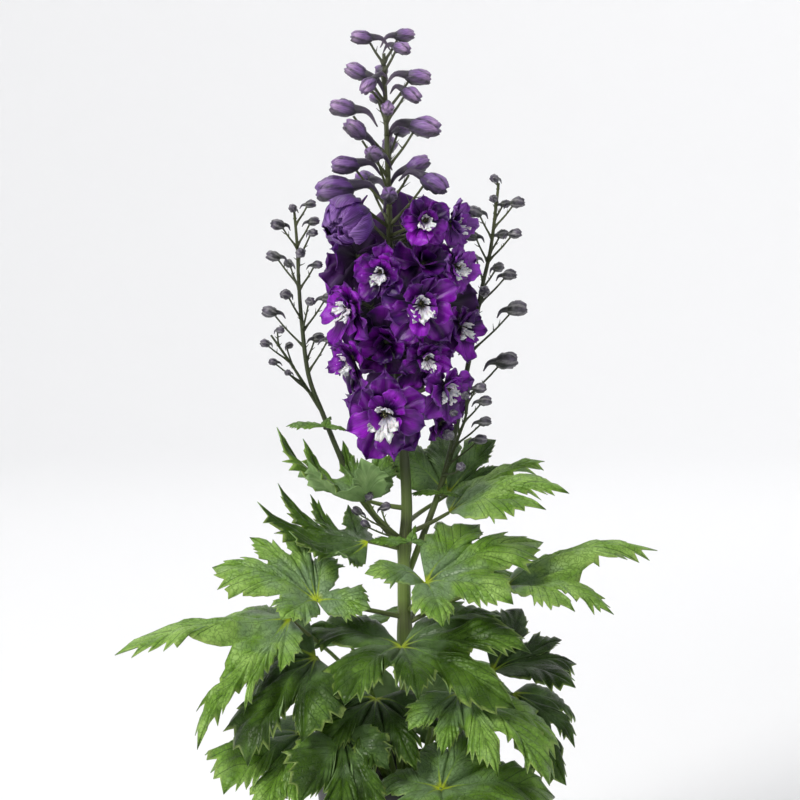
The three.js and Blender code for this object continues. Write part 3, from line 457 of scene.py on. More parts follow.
def give_thickness(bm, faces, thickness, material):
    """Turns an open sheet into a thin closed one, with a second skin of another material below it."""
    verts = each_once(vert for face in faces for vert in face.verts)
    bmesh.ops.remove_doubles(bm, verts=verts, dist=WELD)
    verts = [vert for vert in verts if vert.is_valid]
    faces = each_once(face for vert in verts for face in vert.link_faces)
    edges = each_once(edge for face in faces for edge in face.edges)
    skin = bmesh.ops.duplicate(bm, geom=verts + edges + faces)["geom"]
    under = [item for item in skin if isinstance(item, bmesh.types.BMFace)]
    bmesh.ops.reverse_faces(bm, faces=under)
    for face in under:
        face.material_index = material
        face.normal_update()
    for vert in each_once(vert for face in under for vert in face.verts):
        vert.normal_update()
        vert.co += vert.normal * thickness
    skin_edges = [item for item in skin if isinstance(item, bmesh.types.BMEdge)]
    rims = [edge for edge in edges + skin_edges if edge.is_boundary]
    for face in bmesh.ops.bridge_loops(bm, edges=rims)["faces"]:
        face.material_index = material


def new_piece(*keys):
    """An empty bmesh with a UV map and a number on each point for each of these keys."""
    bm = bmesh.new()
    bm.loops.layers.uv.new("UVMap")
    return bm, {key: bm.verts.layers.float.new(key) for key in keys}


def finish_piece(name, bm, materials, node):
    """Closes seams and poles and hands the mesh over as the piece that stands for a CAD node."""
    bmesh.ops.remove_doubles(bm, verts=bm.verts[:], dist=WELD)
    piece = put_in_scene(name, bm, materials)
    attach(piece, "root")
    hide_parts(node)
    return piece


def lobes_of(centre, tips, turn, over):
    """Each lobe's length, direction, side, upward normal and room towards its two neighbours."""
    reach = [tip - centre for tip in tips]
    crosses = [a.cross(b).normalized() for a, b in zip(reach, reach[1:])]
    lobes = []
    for i, along in enumerate(reach):
        direction = along.normalized()
        upward = (crosses[max(i - 1, 0)] + crosses[min(i, len(crosses) - 1)]).normalized()
        side = upward.lerp(over, turn).cross(direction).normalized()
        room = []
        for k in (i - 1, i + 1):
            inside = 0 <= k < len(reach)
            room.append(min(1.1, direction.angle(reach[k]) / FULL_SPREAD) if inside else 1.0)
        lobes.append((along.length, direction, side, direction.cross(side).normalized(), room))
    return lobes


def blade(bm, layers, leaf, rng):
    """The lobed blade: two rows of grid cells for each tooth, welded to the next lobe up to the cut."""
    centre = Vector(leaf["junction"])
    arch = leaf.get("arch", 0.12)
    breadth = leaf.get("breadth", 1.0)
    over = Vector(leaf.get("over", (0, 0, 1))).normalized()
    lobes = lobes_of(centre, [Vector(tip) for tip in leaf["tips"]], leaf.get("turn", 0.0), over)

    def at(lobe, along, across):
        length, direction, side, normal, _ = lobe
        rise = 4 * arch * along * (1 - along) - FALL * abs(across)
        return centre + (direction * along + side * across * breadth + normal * rise) * length

    sinuses = [at(lobes[0], BLADE_END[0], -BLADE_END[1])]
    depths = [END_DEPTH]
    for a, b in zip(lobes, lobes[1:]):
        deep = leaf.get("cut", 1.0) * min(1.0, FULL_SPREAD / a[1].angle(b[1])) ** 1.6
        sinuses.append((at(a, SINUS[0] * deep, SINUS[1] * deep * a[4][1])
                        + at(b, SINUS[0] * deep, -SINUS[1] * deep * b[4][0])) / 2)
        depths.append(deep)
    sinuses.append(at(lobes[-1], *BLADE_END))
    depths.append(END_DEPTH)
    upward = sum((lobe[3] for lobe in lobes), Vector()).normalized()
    drift = Vector([rng.uniform(0, 90) for _ in range(3)])

    for i, lobe in enumerate(lobes):
        length, direction, side, normal, room = lobe
        halves = []
        for half, sign in ((0, -1), (1, 1)):
            sinus = sinuses[i + half]
            rows = [(start, centre.lerp(sinus, share), 0.8, 0.0) for start, share in SHARED_ROWS]
            first_tooth = at(lobe, TOOTH_ROWS[0][1], sign * TOOTH_ROWS[0][2] * room[half])
            bulge = side * (sign * BULGE * (1 - depths[i + half]) * length)
            for start, share, out in SHOULDER_ROWS:
                rows.append((start, sinus.lerp(first_tooth, share) + bulge * out, 0.8, 0.0))
            for start, along, across, between in TOOTH_ROWS:
                spread = across * room[half] * (1 + TOOTH_WIDTH_JITTER * (rng.random() - 0.5))
                edge = at(lobe, along * (1 + TOOTH_PLACE_JITTER * (rng.random() - 0.5)), sign * spread)
                lift = VALLEY_LIFT if between else TOOTH_LIFT * (rng.random() - 0.6)
                last_start, last_edge, _, last_lift = rows[-1]
                rows.append(((last_start + start) / 2, (last_edge + edge) / 2, 0.5, (last_lift + lift) / 2))
                rows.append((start, edge, between, lift))
            tip = at(lobe, 1, 0)
            rows.append(((rows[-1][0] + 1) / 2, (rows[-1][1] + tip) / 2, 0.5, rows[-1][3] / 2))
            rows.append((1.0, tip, 0.0, 0.0))
            halves.append(rows)
        count = len(halves[0]) - 1

        def place(across, along, vert):
            sign = -across  # turned so that the faces point up
            start, edge, between, lift = halves[1 if sign > 0 else 0][round(along * count)]
            q = abs(across)
            rib = at(lobe, start, 0)
            point = rib.lerp(edge, q)
            width = (edge - rib).length
            away = (point - centre).length
            past_cut = min(1.0, max(0.0, (start - 0.2) / 0.15))
            puff = PUFF * width * 4 * q * (1 - q)
            groove = (GROOVE * length * (1 - math.exp(-q * width / GROOVE_WIDTH))
                      * min(1, start * 6) * (1 - q ** 6))
            quilt = QUILT * length * math.sin(0.5 * math.pi * between) * math.sin(math.pi * q) * past_cut
            sway = sum(high * noise.noise(point / long + drift) for long, high in WAVES)
            for key, value in (("rib", q * width), ("reach", away), ("vein", between),
                               ("edge", q if start > 0.27 else 0.0), ("tone", leaf["tone"])):
                vert[layers[key]] = value
            height = puff + groove + quilt + lift * length * q * q
            return (point + normal * height + upward * (sway * min(1.0, away / FLAT_NEAR_JUNCTION))) * MM

        shaped_grid(bm, LOBE_COLUMNS, count, place)


for index, (node, leaf) in enumerate(LEAVES.items()):
    rng = random.Random(7 + index)
    bm, layers = new_piece("rib", "reach", "vein", "edge", "tone")
    blade(bm, layers, leaf, rng)
    give_thickness(bm, bm.faces[:], BLADE_THICKNESS, 1)
    tube(bm, [leaf["root"], leaf["via"], leaf["junction"]], lambda share: 2.1 - 0.8 * share,
         PETIOLE_STEPS, PETIOLE_SIDES, 2)
    finish_piece(node.replace("leaf_", "blade_"), bm, [leaf_upper, leaf_under, stalk_skin], node)


# ---- Blooms ----
# Semi-double delphinium florets. Five broad outer sepals overlap round a small green receptacle, with
# a horned spur behind the upper one. Two looser whorls of narrower petals stand in front. The tissue
# is thin, soft and velvety, and each floret grows on its own stalk.

# Each bloom: the middle of its face, the way it faces seen from above and upwards, and its radius.
# Where a bloom has them, opened under 1 cups it, droop hangs its lower petals, its brightness adds
# painted light, or below 0 painted shade, to its petals, pale makes them paler, plain gives it plain
# whorls and no bee, and globe keeps it folded to a ball.
BLOOMS = {
    "bloom_bottom": dict(at=(-16, -46, 405), azimuth=264, tilt=-4, radius=35, droop=0.08, painted_light=-0.08),
    "bloom_centre": dict(at=(9, -48, 485), azimuth=278, tilt=0, radius=29, droop=0.12, painted_light=-0.04),
    "bloom_front_top": dict(at=(12, -38, 545), azimuth=280, tilt=6, radius=20.5, opened=0.93, painted_light=0.1),
    "bloom_front_left": dict(at=(-19, -42, 508), azimuth=252, tilt=2, radius=23, opened=0.9, painted_light=-0.05),
    "bloom_right_high": dict(
        at=(34, -20, 511), azimuth=318, tilt=0, radius=21, opened=0.92, droop=0.2, painted_light=0.6, pale=0.4),
    "bloom_left_mid": dict(
        at=(-42, -28, 483), azimuth=218, tilt=-4, radius=26, opened=0.9, droop=0.3, painted_light=0.2),
    "bloom_right_mid": dict(
        at=(38, -20, 467), azimuth=322, tilt=-4, radius=24, opened=0.9, droop=0.3, painted_light=-0.3),
    "bloom_left_low": dict(
        at=(-41, -24, 443), azimuth=212, tilt=-8, radius=26, opened=0.88, droop=0.35, painted_light=-0.1),
    "bloom_front_low": dict(
        at=(12, -36, 446), azimuth=292, tilt=-16, radius=23, opened=0.9, droop=0.3, painted_light=-0.25),
    "bloom_right_low": dict(
        at=(27, -31, 422), azimuth=304, tilt=-6, radius=25, opened=0.92, droop=0.3, painted_light=0.25, pale=0.25),
    "bloom_low_side": dict(at=(24, -4, 393), azimuth=335, tilt=-32, radius=17, plain=True),
    "bloom_opening": dict(at=(-37, -27, 550), azimuth=240, tilt=-16, radius=22.5, opened=0.5, globe=True),
    "bloom_left_back": dict(at=(-38, 5, 517), azimuth=140, tilt=-4, radius=32, plain=True),
    "bloom_upper_right": dict(at=(10, -26, 513), azimuth=300, tilt=30, radius=28, plain=True, painted_light=-0.2),
    "bloom_right_top": dict(
        at=(32, -8, 542), azimuth=328, tilt=6, radius=22, opened=0.85, pale=0.7, painted_light=0.5),
    "bloom_back_high": dict(at=(-3, 32, 530), azimuth=80, tilt=4, radius=33, plain=True),
    "bloom_back_left": dict(at=(-28, 28, 474), azimuth=122, tilt=0, radius=33, plain=True),
    "bloom_back_right": dict(at=(24, 28, 480), azimuth=58, tilt=0, radius=34, plain=True),
    "bloom_inner": dict(at=(-15, -17, 456), azimuth=250, tilt=-8, radius=29, plain=True),
    "bloom_back_low": dict(at=(-9, 35, 434), azimuth=105, tilt=-6, radius=34, plain=True),
}
PETAL_SKIN = 0.4 * MM
PETAL_COLUMNS = 12
PETAL_ROWS = 16
# Half width of a petal at shares of its length: a narrow claw, a broad blade and a rounded end.
PETAL_OUTLINE = [(0, 0.15), (0.08, 0.28), (0.2, 0.5), (0.35, 0.76), (0.5, 0.95), (0.62, 1.0),
                 (0.74, 0.96), (0.84, 0.84), (0.91, 0.66), (0.96, 0.42), (1.0, 0.0)]
WRAPPED_END = 0.86  # a petal wrapped round a globe has its outline cut here, so it ends blunt
RECEPTACLE_TOP = 2.2
RECEPTACLE_DEPTH = 6.0
THROAT = 3.0
# The whorls: petals, their length and width as shares of the bloom's radius, the degrees they rise,
# the angle of the first one, how far forward they stand, how uneven they are, their lightness, which
# holds painted shade on the inner whorls of plain blooms, and 1 where the bloom's brightness adds to it.
OPEN_WHORLS = [
    (5, 1.14, 0.75, 8, 90, 0.0, 0.2, 0.42, 1), (5, 0.94, 0.58, 22, 54, 1.5, 0.3, 0.55, 1),
    (4, 0.62, 0.42, 42, 30, 2.0, 0.4, 0.65, 1),
]
PLAIN_WHORLS = [
    (5, 1.14, 0.9, 8, 90, 0.0, 0.2, 0.42, 1), (5, 0.8, 0.62, 46, 54, 1.5, 0.2, 0.1, 0),
    (3, 0.5, 0.4, 72, 40, 2.0, 0.2, 0.0, 0),
]
# Those of a globe: petals, size as a share of the radius, first angle, how far they close, paleness.
GLOBE_WHORLS = [
    (5, 1.0, 90, 2.6, 0.35), (5, 0.93, 60, 2.85, 0.7), (5, 0.84, 20, 3.15, 0.9), (4, 0.74, 45, 3.4, 1.0),
]

# Petal face: soft velvety tissue full of violet sap. Rounded cells give it a satin sheen at the edges,
# fine veins run along it, painted shade makes it darkest in the throat, and it is paler on the rim,
# partly its own margin and partly a painted highlight.
petal_face, tree, shader = new_material(
    "velvety violet petal", Roughness=0.36, Specular_IOR_Level=0.34, Sheen_Weight=0.16,
    Sheen_Roughness=0.3, Sheen_Tint="#c070e0")
coords = add(tree, "TexCoord")
petal_uv = add(tree, "SeparateXYZ", {0: coords.outputs["UV"]})
shaded_violet = add(tree, "ValToRGB", {"Fac": petal_uv.outputs["Y"]},
           stops=[(0.0, "#080110"), (0.36, "#16022a"), (0.64, "#32044e"), (1.0, "#3c0a62")])
lit_violet = add(tree, "ValToRGB", {"Fac": petal_uv.outputs["Y"]},
           stops=[(0.0, "#10021a"), (0.3, "#3c045e"), (0.56, "#9a12c4"), (1.0, "#8c22b6")])
# Painted light and shade: each petal lies between a shaded and a lit copy of its violet by its
# lightness, and drifts between them in 20 mm clouds.
drift = add(tree, "TexNoise", {"Vector": coords.outputs["Object"], "Scale": 48.0, "Detail": 2.0})
drift_amount = add(tree, "MapRange", {0: drift, 1: 0.36, 2: 0.64, 3: -0.48, 4: 0.42})
tone = add(tree, "Attribute", attribute_name="tone").outputs["Fac"]
lit_share = add(tree, "Math", {0: tone, 1: drift_amount}, operation="ADD", use_clamp=True)
stretched = add(tree, "Mapping", {"Vector": coords.outputs["UV"], "Scale": (16.0, 1.4, 1.0)})
veins = add(tree, "TexNoise", {"Vector": stretched, "Scale": 2.2, "Detail": 3.0})
vein_share = add(tree, "MapRange", {0: veins, 1: 0.45, 2: 0.75, 3: 0.0, 4: 0.6})
# Bright magenta clouds of 11 mm: partly the petal's own mottle, partly a painted highlight.
clouds = add(tree, "TexNoise", {
    "Vector": coords.outputs["Object"], "Scale": 90.0, "Detail": 6.0, "Roughness": 0.7,  # 11 mm clouds
})
cloud_share = add(tree, "MapRange", {0: clouds, 1: 0.52, 2: 0.78, 3: 0.0, 4: 0.45})
# A paler rim along each side: partly the petal's own margin, partly a painted highlight.
off_middle = add(tree, "Math", {0: petal_uv.outputs["X"], 1: 0.5}, operation="SUBTRACT")
aside = add(tree, "Math", {0: off_middle}, operation="ABSOLUTE")
rim_share = add(tree, "MapRange", {0: aside, 1: 0.46, 2: 0.5, 3: 0.0, 4: 0.45})
pale = add(tree, "Attribute", attribute_name="pale").outputs["Fac"]
pale_share = add(tree, "Math", {0: pale, 1: 0.6}, operation="MULTIPLY")
colour = shaded_violet
for share, over in ((lit_share, lit_violet), (vein_share, "#26023a"), (cloud_share, "#9018b0"),
                    (rim_share, "#8a58b4"), (pale_share, "#8a5cac")):
    colour = add(tree, "Mix", {0: share, 6: colour, 7: over}, data_type="RGBA")
bump = add(tree, "Bump", {"Height": veins, "Strength": 0.35, "Distance": 0.0008})
wire(tree, shader, {"Base Color": colour, "Normal": bump})

# Petal back: the same tissue without velvet, duller and bluer, with a green-grey stripe up the middle.
# On an opening bloom it is pale lavender with dark veins.
petal_back, tree, shader = new_material("dull violet petal back", Roughness=0.46, Specular_IOR_Level=0.36)
coords = add(tree, "TexCoord")
petal_uv = add(tree, "SeparateXYZ", {0: coords.outputs["UV"]})
off_middle = add(tree, "Math", {0: petal_uv.outputs["X"], 1: 0.5}, operation="SUBTRACT")
aside = add(tree, "Math", {0: off_middle}, operation="ABSOLUTE")
stripe_share = add(tree, "MapRange", {0: aside, 1: 0.02, 2: 0.12, 3: 0.55, 4: 0.0})
flush = add(tree, "ValToRGB", {"Fac": petal_uv.outputs["Y"]},
            stops=[(0.0, "#26202e"), (0.4, "#371248"), (1.0, "#521c70")])
striped = add(tree, "Mix", {0: stripe_share, 6: flush, 7: "#38363e"}, data_type="RGBA")
lavender = add(tree, "ValToRGB", {"Fac": petal_uv.outputs["Y"]},
               stops=[(0.0, "#28183c"), (0.38, "#2c0a52"), (0.64, "#7438ac"), (1.0, "#bc8ee0")])
stretched = add(tree, "Mapping", {"Vector": coords.outputs["UV"], "Scale": (16.0, 1.4, 1.0)})
veins = add(tree, "TexNoise", {"Vector": stretched, "Scale": 2.2, "Detail": 3.0})
vein_share = add(tree, "MapRange", {0: veins, 1: 0.42, 2: 0.6, 3: 0.75, 4: 0.0})
veined = add(tree, "Mix", {0: vein_share, 6: lavender, 7: "#2a0c48"}, data_type="RGBA")
pale = add(tree, "Attribute", attribute_name="pale").outputs["Fac"]
colour = add(tree, "Mix", {0: pale, 6: striped, 7: veined}, data_type="RGBA")
bump = add(tree, "Bump", {"Height": veins, "Strength": 0.4, "Distance": 0.0008})
wire(tree, shader, {"Base Color": colour, "Normal": bump})


def facing(at, azimuth, tilt):
    """The turn and place that points a floret's +Z the way it faces, with its top side up."""
    turn, rise = math.radians(azimuth), math.radians(tilt)
    out = Vector((math.cos(turn) * math.cos(rise), math.sin(turn) * math.cos(rise), math.sin(rise)))
    right = Vector((0, 0, 1)).cross(out).normalized()
    axes = Matrix((right, out.cross(right), out)).transposed().to_4x4()
    return Matrix.Translation(Vector(at)) @ axes


def petal(bm, layers, matrix, angle, length, width, rise, rng, height=0.0, throat=THROAT, curl=-0.2,
          twist=13, ruffle=0.09, split=0.0, cup=0.12, fringe=0.0, tone=0.5, pale=0.0, wrap=False,
          materials=(0, 1)):
    """One petal of a floret, with a wavy rim, a crease along its middle and a second skin behind."""
    phase = [rng.uniform(0, 2 * math.pi) for _ in range(6)]
    waves = rng.uniform(1.4, 2.8)
    lean = math.radians(twist + rng.uniform(-9, 9))
    bend = curl + rng.uniform(-0.25, 0.25)
    cup = cup + rng.uniform(-0.1, 0.16)
    slant = rng.uniform(-0.12, 0.12)
    peak = rng.uniform(0.06, 0.26)
    shade = tone + rng.uniform(-0.3, 0.3)

    def place(across, along, vert):
        s = -across  # turned so that the front faces out
        side = 1 if s > 0 else -1
        frill = 0.08 * math.sin(9 * along + phase[3] + side) + 0.05 * math.sin(21 * along + phase[5] * side)
        outline = interpolate(PETAL_OUTLINE, min(along, WRAPPED_END) if wrap else along)
        flare = 0.5 * width * (s * outline * (1 + frill * abs(s)) + slant * along * along)
        notch = 1 - split * math.exp(-(s / 0.22) ** 2) * along ** 3
        notch -= fringe * (0.5 + 0.5 * math.cos(11 * s + phase[4])) * along ** 4
        run = along * notch * (1 - peak * abs(s) * along)
        half_turn = 0.5 * bend * run
        chord = run * (math.sin(half_turn) / half_turn if abs(half_turn) > 0.01 else 1.0)
        out = throat * 0.7 + (length - throat) * chord * math.cos(rise + half_turn)
        wave = math.sin(2 * math.pi * waves * along + phase[0] + side * phase[1])
        edge = ruffle * wave * along * s * s
        folds = 0.034 * math.sin(5.2 * s + phase[2]) + 0.016 * math.sin(10 * s + phase[4] + 3 * along)
        crease = -0.075 * math.exp(-(s / 0.16) ** 2) * 4 * along * (1 - along)
        lift = chord * math.sin(rise + half_turn) + edge + folds * along + crease
        forward = height + length * lift + cup * abs(flare)
        vert[layers["tone"]] = shade
        vert[layers["pale"]] = pale
        if wrap:
            around = flare / max(out, 0.4 * width)
            point = Vector((out * math.cos(around), out * math.sin(around), forward))
        else:
            point = Vector((out, flare * math.cos(lean), forward + flare * math.sin(lean)))
        return (matrix @ (Matrix.Rotation(angle, 4, "Z") @ point)) * MM

    verts = shaped_grid(bm, PETAL_COLUMNS, PETAL_ROWS, place, materials[0])
    faces = each_once(face for vert in verts for face in vert.link_faces)
    give_thickness(bm, faces, PETAL_SKIN, materials[1])


def whorl(bm, layers, matrix, rng, count, length, width, rise, start, uneven=0.2, droop=0.0, **shape):
    """A ring of petals, each a little different. The lower ones are longer and hang more with droop."""
    step = 2 * math.pi / count
    for i in range(count):
        angle = math.radians(start) + (i + 0.3 * (rng.random() - 0.5)) * step
        low = -droop * math.sin(angle)
        reach = length * (1 + 0.2 * (rng.random() - 0.6)) * (1 + low)
        broad = width * (1 + 0.24 * (rng.random() - 0.5)) * (1 + 0.4 * low)
        cleft = 0.22 * max(0.0, rng.random() - 0.4)
        lifted = rise + uneven * 2 * (rng.random() - 0.5) - 0.8 * low
        petal(bm, layers, matrix, angle, reach, broad, lifted, rng, split=cleft, **shape)


for index, (node, bloom) in enumerate(BLOOMS.items()):
    rng = random.Random(40 + index)
    radius, opened = bloom["radius"], bloom.get("opened", 1.0)
    droop, painted_light, pale = (bloom.get(key, 0.0) for key in ("droop", "painted_light", "pale"))
    matrix = facing(bloom["at"], bloom["azimuth"], bloom["tilt"])
    bm, layers = new_piece("tone", "pale")
    if bloom.get("globe"):
        for count, share, start, closing, pale in GLOBE_WHORLS:
            length, width = (0.76 * closing + 0.1) * share * radius, 1.15 * share * radius
            whorl(bm, layers, matrix, rng, count, length, width, 0.05, start, uneven=0.1, curl=closing,
                  ruffle=0.04, pale=pale, wrap=True)
    else:
        whorls = PLAIN_WHORLS if bloom.get("plain") else OPEN_WHORLS
        for count, length, width, rise, start, height, uneven, tone, lit in whorls:
            cupped = math.radians(90 - (90 - rise) * opened)
            # Painted light: the bloom's brightness raises or, below 0, lowers the lightness of the whorls
            # marked for it.
            whorl(bm, layers, matrix, rng, count, length * radius, width * radius, cupped, start, uneven,
                  droop, height=height, tone=tone + lit * painted_light, pale=pale)
    receptacle = [Vector((0, 0, z)) for z in (RECEPTACLE_TOP, -1, RECEPTACLE_TOP - RECEPTACLE_DEPTH)]
    tube(bm, [matrix @ point for point in receptacle], lambda share: 2.7 - 0.5 * share, 4, 12, 2)
    horn = [Vector((0, 2.2, -1)), Vector((0, 6.5, -0.3 * radius - 2)), Vector((0, 9, -0.6 * radius - 3))]
    tube(bm, [matrix @ point for point in horn], lambda share: 1.9 - 1.3 * share ** 0.7, 8, 10, 1)
    finish_piece(node + "_corolla", bm, [petal_face, petal_back, stalk_skin], node)


# ---- Bees ----
# The bee is the tuft of small white petals in the middle of an open floret. Four broad lower ones are
# split and ruffled, the upper ones curl forward, and a knot of dark stamens sits between them.
BEE_SEAT = 2.95
STAMENS = 11
# Its petals: the angle round the floret, length and width as shares of its radius, cleft and curl.
BEE_PETALS = [
    (222, 0.56, 0.24, 0.4, -0.3), (250, 0.66, 0.24, 0.5, -0.4), (286, 0.68, 0.25, 0.5, -0.4),
    (318, 0.58, 0.24, 0.4, -0.3), (104, 0.42, 0.19, 0.3, 1.2), (66, 0.42, 0.18, 0.3, 1.2),
    (150, 0.36, 0.16, 0.2, 0.9), (24, 0.34, 0.16, 0.2, 0.9),
]

# Bee petal: chalk-white tissue without sap colour, with a breath of lilac near its claw.
bee_white, tree, shader = new_material("white bee petal", Roughness=0.55, Subsurface_Weight=0.1,
                                       Subsurface_Scale=0.002)
coords = add(tree, "TexCoord")
petal_uv = add(tree, "SeparateXYZ", {0: coords.outputs["UV"]})
white = add(tree, "ValToRGB", {"Fac": petal_uv.outputs["Y"]},
            stops=[(0.0, "#5a5470"), (0.3, "#d8d2e0"), (0.5, "#f6f4f5"), (1.0, "#fbfafa")])
stretched = add(tree, "Mapping", {"Vector": coords.outputs["UV"], "Scale": (9.0, 3.0, 1.0)})
crimp = add(tree, "TexNoise", {"Vector": stretched, "Scale": 2.0, "Detail": 2.0})
bump = add(tree, "Bump", {"Height": crimp, "Strength": 0.5, "Distance": 0.0006})
wire(tree, shader, {"Base Color": white, "Normal": bump})

# Stamens: matt threads and ripe anthers, mottled between dark olive and cream in 2 mm grains.
stamen_olive, tree, shader = new_material("olive stamens", Roughness=0.7)
coords = add(tree, "TexCoord").outputs["Object"]
grains = add(tree, "TexNoise", {"Vector": coords, "Scale": 450.0, "Detail": 2.0})
olive = add(tree, "ValToRGB", {"Fac": grains},
            stops=[(0.40, "#15170f"), (0.55, "#3c3e22"), (0.74, "#b9b37c")])
bump = add(tree, "Bump", {"Height": grains, "Strength": 0.5, "Distance": 0.0005})
wire(tree, shader, {"Base Color": olive, "Normal": bump})


def stamen_radius(share):
    """A thread with a fat anther near its end."""
    return 0.3 if share < 0.7 else 0.75 - 0.5 * abs(share - 0.85)


for index, (node, bloom) in enumerate(BLOOMS.items()):
    if bloom.get("plain"):
        continue
    rng = random.Random(540 + index)
    opened = bloom.get("opened", 1.0)
    size = bloom["radius"] * opened
    matrix = facing(bloom["at"], bloom["azimuth"], bloom["tilt"])
    rise = math.radians(90 - 50 * opened)
    bm, layers = new_piece("tone", "pale")
    for angle, length, width, split, curl in BEE_PETALS:
        turned = math.radians(angle + rng.uniform(-14, 14))
        reach = length * size * rng.uniform(0.9, 1.2)
        lifted = rise * rng.uniform(0.6, 1.2)
        petal(bm, layers, matrix, turned, reach, width * size, lifted, rng, height=BEE_SEAT, throat=1.6,
              curl=curl, twist=rng.uniform(-28, 28), ruffle=0.26, split=split, cup=0.4, fringe=0.4,
              materials=(0, 0))
    for k in range(STAMENS):
        angle = 2 * math.pi * (k + rng.random() * 0.6) / STAMENS
        reach = size * rng.uniform(0.02, 0.11)
        high = BEE_SEAT + size * rng.uniform(0.1, 0.17)
        foot = Vector((0.4 * math.cos(angle), 0.4 * math.sin(angle), BEE_SEAT))
        top = Vector((reach * math.cos(angle), reach * math.sin(angle), high))
        tube(bm, [matrix @ foot, matrix @ top], stamen_radius, 5, 6, 1)
    finish_piece(node + "_tuft", bm, [bee_white, stamen_olive], node + "_bee")


# ---- Flower spikes ----
# The main spike and two side spikes: fibrous stems that carry the florets below and closed buds
# above, each on a thin stalk. A bud is five violet sepals folded over each other, with a horned spur
# that points back. Thread-like bracts sit on the stalks, and small three-lobed leaves at the forks.
UP = Vector((0, 0, 1))
STALK, RIPE_BUD, SMALL_BLADE, SMALL_BLADE_UNDER, YOUNG_BUD = range(5)
MAIN_STEM = [
    (1, 0, SOIL_TOP - ROOT_DEPTH), (0, 0, 166), (-2, 0, 220), (-3, 0, 289), (-1, 0, 334), (-6, 0, 410),
    (-12, 0, 485), (-14, 0, 545), (-16, 0, 611), (-18, 0, 668),
]
# Heights and radii, swollen at the two nodes that the leaves and side spikes grow from.
MAIN_STEM_RADII = [
    (SOIL_TOP, 6.2), (233, 5.4), (241, 6.3), (249, 6.1), (258, 5.2), (298, 4.8), (306, 5.6), (316, 5.4),
    (325, 4.6), (450, 3), (560, 2.2), (668, 1.3),
]
LEFT_STEM = [
    (-4, 3, 297), (-38, 20, 336), (-53, 24, 368), (-64, 22, 396), (-75, 16, 427), (-80, 10, 469),
    (-82, 8, 500), (-83, 8, 525), (-85, 8, 550),
]
RIGHT_STEM = [
    (0, 3, 277), (24, 15, 340), (36, 15, 386), (43, 15, 423), (49, 15, 454), (55, 15, 490), (62, 15, 522),
    (66, 15, 554), (68, 15, 572),
]
RIGHT_BRANCH = [(27, 15, 350), (38, -8, 384), (43, -21, 401), (45, -25, 424)]
LEFT_BRANCH = [(-66, 21, 400), (-78, 16, 420), (-92, 12, 442), (-103, 10, 458)]
LOW_SPRAY = [(-1, -2, 302), (-14, -14, 315), (-24, -18, 326), (-31, -20, 338)]
# The buds of each stem: x, y, z and length, and on the main stem the degrees that a bud rises.
MAIN_BUDS = [
    (-34, -4, 679, 18, 4), (-3, 6, 681, 17, 6), (-5, -9, 671, 16, -12), (-38, 4, 654, 20, 22),
    (-29, -10, 644, 17, -38), (7, 3, 650, 21, -6), (2, -10, 637, 18, -24), (-48, -2, 627, 22, 10),
    (-15, -20, 627, 16, -20), (-24, 14, 635, 14, 10), (-39, -14, 611, 21, 32), (12, -8, 613, 26, -6),
    (-5, 16, 611, 18, 6), (-25, -22, 593, 20, 8), (-46, -4, 585, 23, -4), (7, 2, 585, 21, 26),
    (19, -10, 572, 24, -24), (-14, -28, 563, 20, 12), (-54, -6, 567, 31, -6), (-20, 22, 655, 17, 6),
    (-14, 26, 600, 20, 6), (-32, 24, 574, 22, 6),
]
LEFT_BUDS = [
    (-86, 4, 553, 9), (-73, 10, 556, 9), (-97, 2, 541, 12), (-71, 14, 543, 10), (-71, -4, 535, 9),
    (-80, -6, 520, 11), (-101, 12, 517, 12), (-90, 22, 511, 10), (-68, 2, 511, 9), (-91, -4, 489, 11),
    (-73, -8, 484, 10), (-59, 8, 486, 13), (-104, 14, 475, 13), (-68, 20, 455, 11), (-58, 2, 455, 11),
]
LEFT_BRANCH_BUDS = [
    (-107, 4, 452, 9), (-96, 4, 462, 8), (-90, 22, 449, 8), (-101, 4, 438, 8), (-90, 4, 430, 7),
]
RIGHT_BUDS = [
    (65, 12, 575, 9), (64, 8, 560, 9), (73, 20, 556, 9), (82, 12, 557, 12), (50, 10, 550, 13),
    (71, 22, 533, 11), (80, 8, 534, 11), (48, 20, 532, 12), (49, 6, 516, 10), (68, 24, 508, 11),
    (76, 10, 503, 12), (57, 2, 491, 12), (82, 16, 477, 17), (74, 12, 438, 19),
]
RIGHT_BRANCH_BUDS = [
    (53, -25, 421, 11), (57, -22, 411, 11), (57, -16, 395, 11), (54, -10, 381, 11), (30, -28, 386, 12),
    (34, -32, 403, 9), (42, -34, 416, 9), (39, -24, 362, 10),
]
LOW_BUDS = [(-29, -24, 340, 9), (-17, -22, 332, 9), (-38, -16, 328, 9), (-32, -26, 320, 8)]
BUD_PLUMPNESS = 0.295
# Down the rows of a bud: how far along it a row lies, and its radius as a share of the plumpest. The
# last rows fold in at the tip.
BUD_PLACES = [(0, 0.0), (0.06, 0.05), (0.18, 0.16), (0.32, 0.30), (0.46, 0.46), (0.6, 0.64), (0.72, 0.79),
              (0.82, 0.90), (0.9, 0.97), (0.95, 1.0), (1, 0.92)]
BUD_OUTLINE = [(0, 0.0), (0.06, 0.36), (0.18, 0.66), (0.32, 0.88), (0.46, 1.0), (0.6, 0.99), (0.72, 0.9),
               (0.82, 0.77), (0.9, 0.6), (0.95, 0.42), (1, 0.0)]
